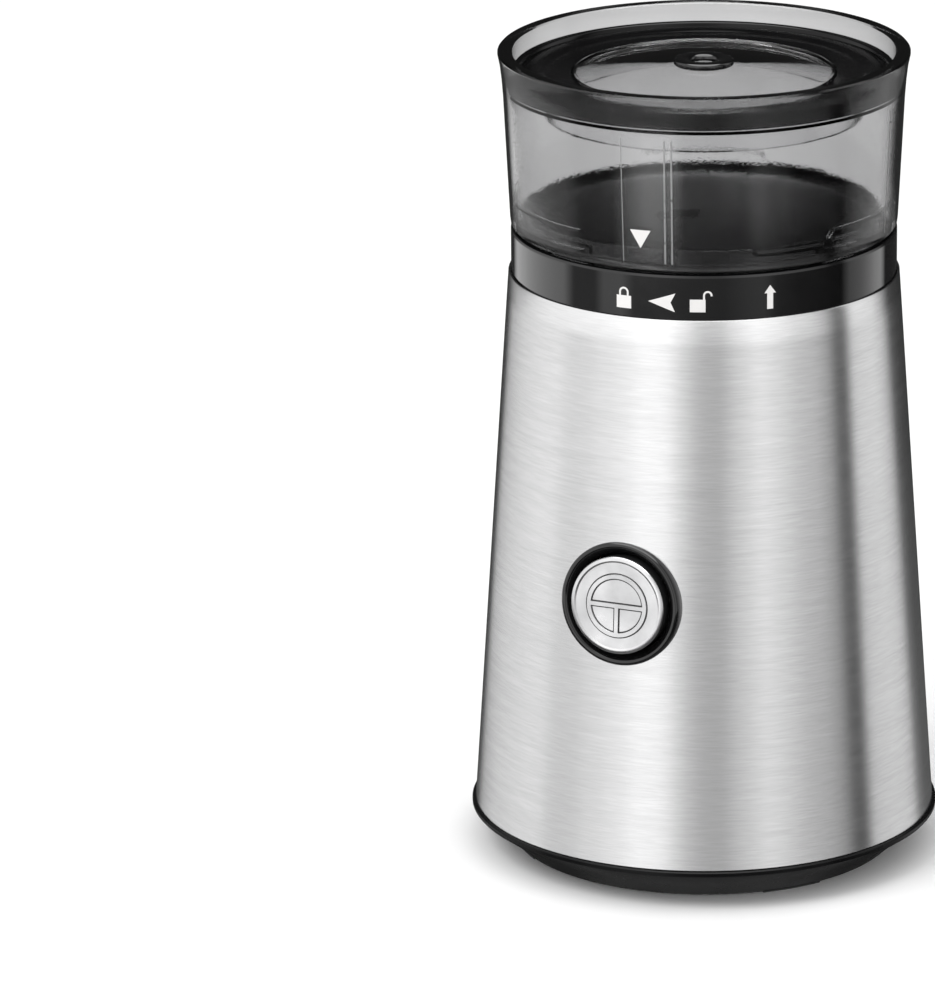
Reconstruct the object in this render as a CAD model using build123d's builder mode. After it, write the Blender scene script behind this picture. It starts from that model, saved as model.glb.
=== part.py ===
"""Blade coffee grinder: steel sleeve, bayonet lid, bowl, motor, start button and lid interlock.

Millimetres. The origin is on the floor under the middle of the grinder, +Z is up along its axis, and the
start button faces -Y. Angles are in degrees round the axis from the front, and grow towards +X.
"""

import os
from math import atan2, cos, degrees, radians, sin

from build123d import *

os.makedirs("parts", exist_ok=True)

# ---------------------------------------------------------------- driving sizes
# Base and sleeve
flange_proud = 0.8  # the base's thin flange stands out past the sleeve
flange_edge = 1.15  # its visible thickness
undercut = 9.1  # how far the foot stands back from the flange
undercut_height = 7.6
foot_lift = 0.4  # gap under the base that the rubber feet leave
foot_width = 3.7  # width of the ring that the base stands on
base_recess = 2.1  # hollow under the base, inside the foot ring
base_floor = 2.5
sleeve_bottom_r = 53.0
sleeve_top_r = 44.48
sleeve_wall = 0.5
spigot_height = 7.0  # wall of the base that locates the sleeve
spigot_wall = 2.0

# Collar, interlock ring and neck
collar_height = 10.3
collar_wall = 1.5
collar_gap = 0.13  # dark line between sleeve and collar
deck_wall = 2.4
interlock_wall = 1.85
neck_wall = 1.6
neck_rise = 4.9  # neck above the collar's deck
ledge_rise = 1.5  # bowl ledge above the collar's deck
free_gap = 0.3  # between faces that pass each other
running_gap = 0.05  # round a guided shaft, stem or rod

# Bowl
bowl_depth = 54.3
bowl_wall = 0.6
bowl_rim = 1.5  # width of the bowl's turned-out rim
bowl_corner = 9.0
gasket_wall = 0.8

# Lid
lid_height = 40.4
lid_gap = 0.47  # between lid and collar
lid_wall = 1.9
lid_draft = 1.5  # the wall leans out by this much up to the shoulder
lid_flare = 1.2  # and by this much more up to the rim
lid_flare_height = 10.3
rim_width = 3.3
insert_drop = 4.2  # black ring's top edge below the rim
insert_thick = 3.4
window_r = 30.0
window_thick = 1.8
window_edge = 2.6  # top of its bevelled rim above the black ring's underside
window_dome = 1.4  # rise from that rim to the flat land under the boss
skirt_r = 35.5
skirt_wall = 1.2
skirt_drop = 7.0  # clear skirt below the black ring
boss_r = 6.75
boss_bore = 3.0
boss_height = 1.4

# Bayonet: lugs on the neck hold down bands inside the lid
bayonet_count = 3
lug_start = 38.5
lug_arc = 23.5
lug_height = 1.6
lug_reach = 1.5
band_start = 62.5
band_arc = 40.0
band_height = 1.8
tab_angle = 82.0  # tabs under the bands drive the interlock ring
tab_arc = 8.0
tab_wall = 1.1
tab_bite = 2.7
lock_turn = 5.4  # from the stored position to the closed padlock
open_turn = 38.1  # and back to the lifting mark

# Interlock push rod
rod_angle = 65.0
rod_width = 4.0
rod_wall = 1.2
cam_stroke = 4.0  # travel of the rod over the lid's whole turn
ring_height = 6.4

# Start button, on the sleeve's sloping face; depths are measured inwards from the face
button_below_deck = 14.7
bezel_r = 14.2
bezel_proud = 1.0
bezel_neck_r = 13.0
bezel_depth = 11.0
cap_r = 11.2
cap_thick = 1.0
cap_proud = 2.4
button_stroke = 2.0
stem_r = 4.0
web_depth = 8.9
spring_r = 5.6
spring_wire = 0.35
switch_size = (20.0, 10.0, 8.0)
plunger_size = (4.0, 2.4)

# Motor, stacked upwards from the base
shaft_r = 2.5
bearing_r = 5.5
bearing_length = 6.0
end_frame_r = 26.0
end_frame_wall = 2.0
end_frame_boss_r = 8.0
commutator_r = 8.5
commutator_length = 8.5
coil_overhang = 5.0
coil_inner_r = 15.8
coil_outer_r = 20.6
stator_length = 22.0
stator_size = (50.0, 44.0)
stator_corner = 10.0
air_gap = 0.4
rotor_r = 14.8
winding_r = 12.8
fan_r = 17.5
fan_height = 5.0
motor_lift = 8.0
mount_height = 8.0
mount_r = 5.0
mount_ring_r = 18.5
tie_bolt_x = 22.0
tie_bolt_r = 1.5
pillar_r = 3.2
brush_size = 5.0
holder_wall = 1.5

# Chassis and blade
chassis_floor = 3.0
chassis_wall = 1.8
chassis_flange = 2.5
chassis_boss_r = 9.5
chassis_boss_height = 4.0
post_r = 3.6
post_angles = (50, 130, 230, 310)
screw_r = 1.4
bowl_clearance = 0.8  # round and under the bowl
blade_r = 29.0
blade_width = 11.0
blade_thick = 1.2
blade_tip = 4.5
hub_r = 5.5
hub_height = 4.4
seal_r = 7.5
nut_r = 4.6
nut_height = 3.3

# Cord outlet
outlet_z = 23.5
outlet_bore_r = 3.2
outlet_neck_r = 5.0
outlet_flange_r = 6.8
outlet_proud = 1.7
outlet_depth = 7.3  # behind the sleeve's face

# ---------------------------------------------------------------- worked-out heights and radii
flange_r = sleeve_bottom_r + flange_proud
flange_low_z = foot_lift + undercut_height
flange_top_z = flange_low_z + flange_edge
foot_r = flange_r - undercut
base_under_z = foot_lift + base_recess
base_top_z = base_under_z + base_floor

lower_boss_z = base_top_z + motor_lift
lower_frame_z = lower_boss_z + bearing_length - end_frame_wall
commutator_z = lower_frame_z + end_frame_wall + 4.0
lower_coil_z = commutator_z + commutator_length + 1.5
stator_z = lower_coil_z + coil_overhang
stator_top_z = stator_z + stator_length
upper_coil_z = stator_top_z + coil_overhang
fan_z = upper_coil_z + 1.0
upper_frame_z = fan_z + fan_height + 4.0
upper_frame_top_z = upper_frame_z + end_frame_wall
chassis_z = upper_frame_top_z + mount_height
chassis_top_z = chassis_z + chassis_floor
chassis_boss_z = chassis_top_z + chassis_boss_height
bowl_under_z = chassis_boss_z + 3 * bowl_clearance
bowl_floor_z = bowl_under_z + bowl_wall
bowl_rim_z = bowl_floor_z + bowl_depth

ledge_z = bowl_rim_z - bowl_wall - gasket_wall
collar_top_z = ledge_z - ledge_rise
sleeve_top_z = collar_top_z - collar_height
deck_under_z = collar_top_z - deck_wall
neck_top_z = collar_top_z + neck_rise
ring_top_z = deck_under_z - free_gap
ring_z = ring_top_z - ring_height
flange_z = ring_z - free_gap  # top of the chassis flange, under the ring

collar_r = sleeve_top_r - sleeve_wall - collar_gap
collar_inner_r = collar_r - collar_wall
ring_outer_r = collar_inner_r - free_gap
ring_inner_r = ring_outer_r - interlock_wall
neck_r = ring_inner_r - free_gap
neck_inner_r = neck_r - neck_wall
bowl_rim_r = neck_inner_r - 0.2
bowl_outer_r = bowl_rim_r - bowl_rim
bowl_r = bowl_outer_r - bowl_wall
ledge_r = bowl_outer_r + 0.3
chassis_inner_r = bowl_outer_r + bowl_clearance
chassis_r = chassis_inner_r + chassis_wall
chassis_flange_r = collar_inner_r - 0.1
post_ring_r = chassis_r - post_r - 0.6
track_r = (ring_inner_r + ring_outer_r) / 2  # middle of the ring, where tabs and rod work

lid_bottom_z = collar_top_z + lid_gap
lid_top_z = lid_bottom_z + lid_height
lid_bottom_r = collar_r + 0.05
lid_shoulder_z = lid_top_z - lid_flare_height
lid_shoulder_r = lid_bottom_r + lid_draft
lid_top_r = lid_shoulder_r + lid_flare
lid_inner_r = lid_bottom_r - lid_wall
insert_r = lid_top_r - rim_width
insert_top_z = lid_top_z - insert_drop
insert_under_z = insert_top_z - insert_thick

lug_z = neck_top_z - lug_height
band_top_z = lug_z - free_gap
band_z = band_top_z - band_height
tab_bottom_z = ring_top_z - tab_bite

bayonet_steps = [k * 360 / bayonet_count for k in range(bayonet_count)]
lean = degrees(atan2(sleeve_bottom_r - sleeve_top_r, sleeve_top_z - flange_top_z))
button_z = chassis_z - button_below_deck


def sleeve_r(z):
    """Outer radius of the sleeve at a height."""
    share = (z - flange_top_z) / (sleeve_top_z - flange_top_z)
    return sleeve_bottom_r + share * (sleeve_top_r - sleeve_bottom_r)


def around(r, angle, z=0.0):
    """The point at a radius, an angle from the front and a height."""
    a = radians(angle)
    return (r * sin(a), -r * cos(a), z)


def radial_plane(angle=0.0):
    """Upright plane through the axis: its x runs outwards at the angle, its y runs up."""
    a = radians(angle)
    return Plane(origin=(0, 0, 0), x_dir=(sin(a), -cos(a), 0), z_dir=(-cos(a), -sin(a), 0))


def lathe(*points, start=0.0, arc=360.0, mode=Mode.ADD):
    """Turn a closed (radius, height) outline round the axis, from the start angle through the arc."""
    with BuildSketch(radial_plane(start)) as outline:
        with BuildLine():
            Polyline(*points, close=True)
        make_face()
    revolve(outline.sketch, axis=Axis.Z, revolution_arc=arc, mode=mode)


def ring_block(r_in, r_out, z_low, z_high, start=0.0, arc=360.0, mode=Mode.ADD):
    """A ring, or a stretch of one, of rectangular section."""
    lathe((r_in, z_low), (r_out, z_low), (r_out, z_high), (r_in, z_high), start=start, arc=arc, mode=mode)


def bore(x, y, r, z_low, z_high):
    """Cut an upright round hole."""
    with Locations((x, y, (z_low + z_high) / 2)):
        Cylinder(r, z_high - z_low, mode=Mode.SUBTRACT)


def rod(x, y, r, z_low, z_high):
    """Add an upright round rod."""
    with Locations((x, y, (z_low + z_high) / 2)):
        Cylinder(r, z_high - z_low)


def block(x_span, y_span, z_span, mode=Mode.ADD):
    """A box between (low, high) limits along each axis."""
    spans = (x_span, y_span, z_span)
    middle = tuple((low + high) / 2 for low, high in spans)
    size = tuple(high - low for low, high in spans)
    with Locations(middle):
        Box(*size, mode=mode)


def button_plane(depth):
    """Plane square to the button's axis, this far inwards from the sleeve's face, facing out."""
    a = radians(lean)
    face_y = -sleeve_r(button_z)
    origin = (0, face_y + depth * cos(a), button_z - depth * sin(a))
    return Plane(origin=origin, x_dir=(1, 0, 0), z_dir=(0, -cos(a), sin(a)))


def button_disc(r, depth_out, depth_in, mode=Mode.ADD):
    """A disc round the button's axis, between two depths."""
    with BuildSketch(button_plane(depth_in)) as face:
        Circle(r)
    extrude(face.sketch, amount=depth_in - depth_out, mode=mode)


def sleeve_core(inset, mode):
    """The solid cone inside the sleeve's outer face, moved inwards by an inset."""
    low = sleeve_r(0) - inset
    high = sleeve_r(collar_top_z) - inset
    lathe((0, 0), (low, 0), (high, collar_top_z), (0, collar_top_z), mode=mode)


# ---------------------------------------------------------------- base
post_points = [around(post_ring_r, angle) for angle in post_angles]
spigot_r = sleeve_r(flange_top_z + spigot_height) - sleeve_wall - 0.2
foot_arc = 20.0
foot_angles = [angle - foot_arc / 2 for angle in post_angles]
foot_inner_r = foot_r - foot_width
foot_socket_z = foot_lift + 1.0

with BuildPart() as base:
    lathe(
        (0, base_under_z), (foot_inner_r, base_under_z), (foot_inner_r, foot_lift), (foot_r, foot_lift),
        (flange_r, flange_low_z), (flange_r, flange_top_z), (spigot_r, flange_top_z),
        (spigot_r, flange_top_z + spigot_height), (spigot_r - spigot_wall, flange_top_z + spigot_height),
        (spigot_r - spigot_wall, base_top_z + 1.5), (foot_inner_r, base_top_z), (0, base_top_z),
    )
    for angle in foot_angles:
        ring_block(foot_inner_r + 0.6, foot_r - 0.6, 0, foot_socket_z, angle, foot_arc, Mode.SUBTRACT)
    for x, y, _ in post_points:
        bore(x, y, screw_r + 0.2, 0, base_top_z + 1)
    with BuildSketch(Plane.XY.offset(base_under_z - 1)) as intake:
        with PolarLocations(22, 16):
            SlotOverall(16, 3)
    extrude(intake.sketch, amount=base_floor + 2, mode=Mode.SUBTRACT)
    flange_rims = base.edges().filter_by(GeomType.CIRCLE).sort_by(SortBy.RADIUS)[-2:]
    fillet(flange_rims, flange_edge / 4)

with BuildPart() as feet:
    for angle in foot_angles:
        ring_block(foot_inner_r + 0.7, foot_r - 0.7, 0, foot_socket_z, angle + 0.5, foot_arc - 1)

with BuildPart() as base_screws:
    for x, y, _ in post_points:
        rod(x, y, screw_r, base_under_z, base_top_z + 10)
        rod(x, y, 2 * screw_r, base_under_z - 1.6, base_under_z)

# ---------------------------------------------------------------- sleeve
with BuildPart() as body_shell:
    lathe(
        (sleeve_bottom_r - sleeve_wall, flange_top_z), (sleeve_bottom_r, flange_top_z),
        (sleeve_top_r, sleeve_top_z), (sleeve_top_r - sleeve_wall, sleeve_top_z),
    )
    button_disc(bezel_neck_r + 0.2, -5, 12, mode=Mode.SUBTRACT)
    with BuildSketch(Plane.XZ.offset(-sleeve_r(outlet_z) - 5)) as outlet_hole:
        with Locations((0, outlet_z)):
            Circle(outlet_neck_r)
    extrude(outlet_hole.sketch, amount=10, mode=Mode.SUBTRACT)

# ---------------------------------------------------------------- collar with neck, lugs and hooks
spigot_low_z = flange_z - chassis_flange - 1.0
with BuildPart() as collar:
    lathe(
        (ledge_r, flange_z), (neck_r, flange_z), (neck_r, deck_under_z), (collar_inner_r, deck_under_z),
        (collar_inner_r, spigot_low_z), (collar_r - 0.25, spigot_low_z), (collar_r - 0.25, sleeve_top_z),
        (collar_r, sleeve_top_z), (collar_r, collar_top_z), (neck_r, collar_top_z), (neck_r, neck_top_z),
        (neck_inner_r, neck_top_z), (neck_inner_r, ledge_z), (ledge_r, ledge_z),
    )
    deck_rim = collar.edges().filter_by(GeomType.CIRCLE).group_by(SortBy.RADIUS)[-1].sort_by(Axis.Z)[-1]
    fillet(deck_rim, 0.5)
    for step in bayonet_steps:
        ring_block(neck_r - 0.4, neck_r + lug_reach, lug_z, neck_top_z, lug_start + step, lug_arc)
        slot_start = tab_angle + step - tab_arc / 2 - lock_turn - 1
        slot_arc = tab_arc + lock_turn + open_turn + 2
        ring_block(
            track_r - tab_wall / 2 - free_gap, track_r + tab_wall / 2 + free_gap,
            deck_under_z - 1, collar_top_z + 1, slot_start, slot_arc, Mode.SUBTRACT,
        )
        ring_block(
            chassis_flange_r - 0.8, collar_inner_r + 0.3,
            spigot_low_z, flange_z - chassis_flange - 0.1, step + 10, 20,
        )

# ---------------------------------------------------------------- interlock ring and push rod
lead = cam_stroke / radians(lock_turn + open_turn)  # ring height per radian of turn
cam_middle = rod_angle + (lock_turn - open_turn) / 2
half_cam = (lock_turn + open_turn) / 2
cam_x, cam_y, _ = around(track_r, cam_middle)
half_cut = radians(half_cam + 7)  # the cut runs on past the rod at both ends of the turn
cam_rise = cam_stroke / 2 / (track_r * sin(radians(half_cam)))
cam_tangent = (cos(radians(cam_middle)), sin(radians(cam_middle)))
cam_plane = Plane(
    origin=(cam_x, cam_y, ring_z + cam_stroke / 2),
    x_dir=(cam_tangent[0], cam_tangent[1], -cam_rise),
    z_dir=(cam_rise * cam_tangent[0], cam_rise * cam_tangent[1], 1),
)
rod_top_z = ring_z + cam_stroke * lock_turn / (lock_turn + open_turn) - free_gap
rod_bottom_z = button_z + 2.5

with BuildPart() as interlock_ring:
    ring_block(ring_inner_r, ring_outer_r, ring_z, ring_top_z)
    with BuildSketch(cam_plane) as cam_face:
        Rectangle(2 * track_r * sin(half_cut), 2 * (track_r * (1 - cos(half_cut)) + interlock_wall))
    extrude(cam_face.sketch, amount=-2 * cam_stroke, mode=Mode.SUBTRACT)
    for step in bayonet_steps:
        ring_block(
            ring_inner_r - 1, ring_outer_r + 1, tab_bottom_z - 0.4, ring_top_z + 1,
            tab_angle + step - tab_arc / 2 - 0.35, tab_arc + 0.7, Mode.SUBTRACT,
        )

with BuildPart() as interlock_pushrod:
    with BuildSketch(Plane.XY.offset(rod_bottom_z)) as rod_section:
        with Locations(Location(around(track_r, rod_angle), rod_angle)):
            Rectangle(rod_width, rod_wall)
    extrude(rod_section.sketch, amount=rod_top_z - rod_bottom_z)
    rod_top_edges = interlock_pushrod.edges().filter_by(GeomType.LINE).group_by(Axis.Z)[-1]
    fillet(rod_top_edges.sort_by(Edge.length)[:2], 0.5)

# ---------------------------------------------------------------- chassis
guide_low_z = chassis_z - 2
guide_high_z = chassis_top_z + 4
guide_inner_r = chassis_r - 0.6
guide_outer_r = track_r + rod_wall / 2 + 1.2
with BuildPart() as chassis:
    lathe(
        (bearing_r + 0.5, chassis_z), (chassis_r, chassis_z), (chassis_r, flange_z - chassis_flange),
        (chassis_flange_r, flange_z - chassis_flange), (chassis_flange_r, flange_z),
        (chassis_inner_r, flange_z), (chassis_inner_r, chassis_top_z), (chassis_boss_r, chassis_top_z),
        (chassis_boss_r, chassis_boss_z), (bearing_r + 0.5, chassis_boss_z),
    )
    for x, y, _ in post_points:
        rod(x, y, post_r, base_top_z, chassis_z)
        bore(x, y, screw_r + 0.05, base_top_z - 1, base_top_z + 12)
    with BuildSketch(Plane.XY.offset(guide_low_z)) as guide:
        with Locations(Location(around((guide_inner_r + guide_outer_r) / 2, rod_angle), rod_angle)):
            Rectangle(rod_width + 4, guide_outer_r - guide_inner_r)
    extrude(guide.sketch, amount=guide_high_z - guide_low_z)
    with BuildSketch(Plane.XY.offset(base_top_z)) as rod_slots:
        with Locations(Location(around(track_r, rod_angle), rod_angle)):
            Rectangle(rod_width + 2 * running_gap, rod_wall + 2 * running_gap)
    extrude(rod_slots.sketch, amount=flange_z + 1 - base_top_z, mode=Mode.SUBTRACT)
    for angle in (45, 135, 225, 315):
        x, y, _ = around(mount_ring_r, angle)
        bore(x, y, tie_bolt_r + 0.1, chassis_z - 1, chassis_top_z + 1)

# ---------------------------------------------------------------- bowl, gasket and shaft seal
with BuildPart() as bowl:
    lathe(
        (seal_r - 1, bowl_under_z), (bowl_outer_r, bowl_under_z), (bowl_outer_r, bowl_rim_z - bowl_wall),
        (bowl_rim_r, bowl_rim_z - bowl_wall), (bowl_rim_r, bowl_rim_z), (bowl_r, bowl_rim_z),
        (bowl_r, bowl_floor_z), (seal_r - 1, bowl_floor_z),
    )
    corner_edges = bowl.edges().filter_by(GeomType.CIRCLE)
    outer_edges = corner_edges.filter_by(lambda e: abs(e.radius - bowl_outer_r) < 0.01)
    fillet(outer_edges.sort_by(Axis.Z)[0], bowl_corner)
    corner_edges = bowl.edges().filter_by(GeomType.CIRCLE)
    inner_corner = corner_edges.filter_by(
        lambda e: abs(e.radius - bowl_r) < 0.01 and abs(e.center().Z - bowl_floor_z) < 0.01
    )
    fillet(inner_corner, bowl_corner - bowl_wall)

with BuildPart() as bowl_gasket:
    ring_block(ledge_r + 0.1, bowl_rim_r - 0.1, ledge_z, ledge_z + gasket_wall)

with BuildPart() as shaft_bush:
    ring_block(shaft_r + 0.03, bearing_r + 0.5, chassis_z, chassis_boss_z)

with BuildPart() as shaft_seal:
    lathe(
        (bearing_r, chassis_boss_z), (seal_r, chassis_boss_z), (seal_r, bowl_under_z), (seal_r - 1, bowl_under_z),
        (seal_r - 1, bowl_floor_z), (seal_r + 0.5, bowl_floor_z), (seal_r + 0.5, bowl_floor_z + 0.8),
        (hub_r + free_gap, bowl_floor_z + 0.8), (hub_r + free_gap, bowl_under_z), (bearing_r, bowl_under_z),
    )

# ---------------------------------------------------------------- rotor: shaft, armature, fan, blade
hub_z = bowl_floor_z
blade_z = hub_z + hub_height
nut_z = blade_z + blade_thick
shaft_top_z = nut_z + nut_height + 1.2

with BuildPart() as shaft:
    rod(0, 0, shaft_r, lower_boss_z - 1, shaft_top_z)
    chamfer(shaft.edges().group_by(Axis.Z)[-1], 0.5)

with BuildPart() as commutator:
    ring_block(shaft_r, commutator_r, commutator_z, commutator_z + commutator_length)
    with PolarLocations(commutator_r, 22):
        with Locations((0, 0, commutator_z + commutator_length / 2)):
            Box(1.2, 0.4, commutator_length + 2, mode=Mode.SUBTRACT)

with BuildPart() as rotor_core:
    ring_block(shaft_r, rotor_r, stator_z, stator_top_z)
    with PolarLocations(rotor_r - 2.5, 11):
        with Locations((0, 0, (stator_z + stator_top_z) / 2)):
            Box(7, 2.2, stator_length + 2, mode=Mode.SUBTRACT)

with BuildPart() as rotor_windings:
    lathe(
        (shaft_r, lower_coil_z), (commutator_r, lower_coil_z), (winding_r, lower_coil_z + 2),
        (winding_r, stator_z), (shaft_r, stator_z),
    )
    lathe(
        (shaft_r, stator_top_z), (winding_r, stator_top_z), (winding_r, upper_coil_z - 2),
        (commutator_r, upper_coil_z), (shaft_r, upper_coil_z),
    )

with BuildPart() as cooling_fan:
    ring_block(shaft_r, 5.0, fan_z, fan_z + fan_height)
    ring_block(4.5, fan_r, fan_z, fan_z + 1)
    with PolarLocations((fan_r + 4.5) / 2, 9):
        with Locations((0, 0, fan_z + fan_height / 2 + 0.25)):
            Box(fan_r - 5.0, 1.0, fan_height - 0.5)

with BuildPart() as blade_hub:
    ring_block(shaft_r, hub_r, hub_z, blade_z)
    fillet(blade_hub.edges().filter_by(GeomType.CIRCLE).group_by(SortBy.RADIUS)[-1].sort_by(Axis.Z)[-1], 0.8)

with BuildPart() as blade:
    with BuildSketch(Plane.XY.offset(blade_z)) as blade_outline:
        SlotOverall(2 * blade_r, blade_width)
        Circle(shaft_r, mode=Mode.SUBTRACT)
    extrude(blade_outline.sketch, amount=blade_thick)
    for side in (-1, 1):
        tip_x = sorted((side * (blade_r - blade_thick - 3), side * (blade_r - 3)))
        block(tip_x, (-3.5, 3.5), (blade_z + blade_thick / 2, blade_z + blade_thick + blade_tip))

with BuildPart() as blade_nut:
    with BuildSketch(Plane.XY.offset(nut_z)) as nut_section:
        RegularPolygon(nut_r, 6)
        Circle(shaft_r, mode=Mode.SUBTRACT)
    extrude(nut_section.sketch, amount=nut_height)
    chamfer(blade_nut.edges().filter_by(GeomType.LINE).group_by(Axis.Z)[-1], 0.4)

# ---------------------------------------------------------------- stator and end frames
with BuildPart() as stator_core:
    with BuildSketch(Plane.XY.offset(stator_z)) as lamination:
        RectangleRounded(*stator_size, stator_corner)
        Circle(rotor_r + air_gap, mode=Mode.SUBTRACT)
        with Locations((tie_bolt_x, 0), (-tie_bolt_x, 0)):
            Circle(tie_bolt_r + 0.1, mode=Mode.SUBTRACT)
    extrude(lamination.sketch, amount=stator_length)
    for middle in (0, 180):
        for start in (middle - 60.3, middle + 49.7):
            ring_block(
                rotor_r, coil_outer_r + 0.2, stator_z - 1, stator_top_z + 1, start, 10.6, Mode.SUBTRACT
            )

with BuildPart() as field_coils:
    for middle in (0, 180):
        ring_block(coil_inner_r, coil_outer_r, lower_coil_z, upper_coil_z, middle - 60, 120)
        ring_block(
            coil_inner_r - 1, coil_outer_r + 1, stator_z, stator_top_z, middle - 50, 100, Mode.SUBTRACT
        )


def end_frame(boss_low, boss_high, plate_z, pillar_low, pillar_high):
    """Motor end frame: bearing boss, plate with air holes, and pillars for the tie bolts."""
    ring_block(bearing_r, end_frame_boss_r, boss_low, boss_high)
    ring_block(bearing_r, end_frame_r, plate_z, plate_z + end_frame_wall)
    for side in (-1, 1):
        rod(side * tie_bolt_x, 0, pillar_r, pillar_low, pillar_high)
    for side in (-1, 1):
        bore(side * tie_bolt_x, 0, tie_bolt_r + 0.1, plate_z - 1, pillar_high + 1)
        bore(side * tie_bolt_x, 0, tie_bolt_r + 0.1, pillar_low - 1, plate_z + 3)


with BuildPart() as lower_end_frame:
    end_frame(lower_boss_z, lower_boss_z + bearing_length, lower_frame_z, lower_frame_z, stator_z)
    for angle in (50, 130, 230, 310):
        x, y, _ = around(15.5, angle)
        bore(x, y, 4.5, lower_frame_z - 1, lower_frame_z + end_frame_wall + 1)

upper_boss_top_z = upper_frame_z + bearing_length
with BuildPart() as upper_end_frame:
    end_frame(upper_frame_z, upper_boss_top_z, upper_frame_z, stator_top_z, upper_frame_z)
    for angle in (0, 90, 180, 270):
        x, y, _ = around(14.0, angle)
        bore(x, y, 3.2, upper_frame_z - 1, upper_frame_top_z + 1)
    for angle in (45, 135, 225, 315):
        x, y, _ = around(mount_ring_r, angle)
        bore(x, y, tie_bolt_r + 0.05, upper_frame_z - 1, upper_frame_top_z + 1)

with BuildPart() as lower_bearing:
    ring_block(shaft_r + 0.03, bearing_r, lower_boss_z, lower_boss_z + bearing_length)

with BuildPart() as upper_bearing:
    ring_block(shaft_r + 0.03, bearing_r, upper_frame_z, upper_boss_top_z)

with BuildPart() as motor_mounts:
    for angle in (45, 135, 225, 315):
        x, y, _ = around(mount_ring_r, angle)
        rod(x, y, mount_r, upper_frame_top_z, chassis_z)
        bore(x, y, tie_bolt_r + 0.1, upper_frame_top_z - 1, chassis_z + 1)

with BuildPart() as mount_screws:
    for angle in (45, 135, 225, 315):
        x, y, _ = around(mount_ring_r, angle)
        rod(x, y, tie_bolt_r, upper_frame_z, chassis_top_z)
        rod(x, y, 2 * tie_bolt_r, chassis_top_z, chassis_top_z + 1.8)

with BuildPart() as tie_bolts:
    for side in (-1, 1):
        rod(side * tie_bolt_x, 0, tie_bolt_r, lower_frame_z, upper_frame_top_z)
        rod(side * tie_bolt_x, 0, 1.9 * tie_bolt_r, lower_frame_z - 2, lower_frame_z)

# ---------------------------------------------------------------- brush gear, fore and aft of the commutator
brush_z = commutator_z + commutator_length / 2
holder_low_z = lower_frame_z + end_frame_wall
holder_inner_y = commutator_r + 1.5
holder_outer_y = holder_inner_y + 13.0
half_brush = brush_size / 2
half_holder = half_brush + holder_wall

with BuildPart() as brush_holders:
    for side in (-1, 1):
        y_span = sorted((side * holder_inner_y, side * (holder_outer_y + holder_wall)))
        slot_span = sorted((side * (holder_inner_y - 1), side * holder_outer_y))
        block((-half_holder, half_holder), y_span, (holder_low_z, brush_z + half_holder))
        block(
            (-half_brush - 0.1, half_brush + 0.1), slot_span,
            (brush_z - half_brush - 0.1, brush_z + half_brush + 0.1), Mode.SUBTRACT,
        )

with BuildPart() as brushes:
    for side in (-1, 1):
        y_span = sorted((side * (commutator_r - 1), side * (holder_inner_y + 5)))
        block((-half_brush, half_brush), y_span, (brush_z - half_brush, brush_z + half_brush))
    ring_block(0, commutator_r + 0.15, commutator_z - 1, commutator_z + 10, mode=Mode.SUBTRACT)

with BuildPart() as brush_springs:
    for side in (-1, 1):
        with BuildLine() as spring_path:
            Helix(
                pitch=1.6, height=holder_outer_y - holder_inner_y - 5.6, radius=1.7,
                center=(0, side * (holder_inner_y + 5.3), brush_z), direction=(0, side, 0),
            )
        with BuildSketch(Plane(spring_path.line @ 0, z_dir=spring_path.line % 0)) as wire:
            Circle(0.25)
        sweep(wire.sketch, path=spring_path.line, is_frenet=True)

# ---------------------------------------------------------------- start button
spring_gap = 0.1
carrier_back = web_depth - button_stroke - 2.6

with BuildPart() as button_bezel:
    button_disc(bezel_r, -bezel_proud, 6)
    sleeve_core(-running_gap, Mode.SUBTRACT)
    button_disc(bezel_neck_r, -bezel_proud / 2, bezel_depth)
    button_disc(cap_r + free_gap, -bezel_proud - 1, web_depth, mode=Mode.SUBTRACT)
    button_disc(stem_r + running_gap, 0, bezel_depth + 1, mode=Mode.SUBTRACT)
    bezel_edges = button_bezel.edges().filter_by(GeomType.CIRCLE)
    fillet(bezel_edges.filter_by(lambda e: abs(e.radius - bezel_r) < 0.01)[0], 0.6)

with BuildPart() as bezel_nut:
    button_disc(bezel_neck_r + 3.5, 0, 7.0)
    sleeve_core(sleeve_wall + 0.02, Mode.INTERSECT)
    button_disc(bezel_neck_r, -1, 8, mode=Mode.SUBTRACT)

with BuildPart() as button_cap:
    button_disc(cap_r, -cap_proud, cap_thick - cap_proud)
    cap_rim = button_cap.edges().filter_by(GeomType.CIRCLE).sort_by(Axis.Y)[0]
    fillet(cap_rim, 0.45)

plunger_gap = 0.1
stem_end = bezel_depth + 3.4
with BuildPart() as button_carrier:
    button_disc(cap_r - 0.2, cap_thick - cap_proud, carrier_back)
    button_disc(stem_r, carrier_back, stem_end)

with BuildPart() as button_spring:
    spring_plane = button_plane(carrier_back + spring_wire + spring_gap)
    with BuildLine() as spring_path:
        Helix(
            pitch=1.3, height=web_depth - carrier_back - 2 * (spring_wire + spring_gap), radius=spring_r,
            center=spring_plane.origin, direction=-spring_plane.z_dir,
        )
    with BuildSketch(Plane(spring_path.line @ 0, z_dir=spring_path.line % 0)) as wire:
        Circle(spring_wire)
    sweep(wire.sketch, path=spring_path.line, is_frenet=True)

# ---------------------------------------------------------------- switches
plunger_start = stem_end + plunger_gap
switch_start = plunger_start + button_stroke + 0.4
switch_end = switch_start + switch_size[1]

with BuildPart() as main_switch_plunger:
    with BuildSketch(button_plane(switch_start + 3.0)) as plunger_section:
        Rectangle(*plunger_size)
    extrude(plunger_section.sketch, amount=switch_start + 3.0 - plunger_start)

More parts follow.
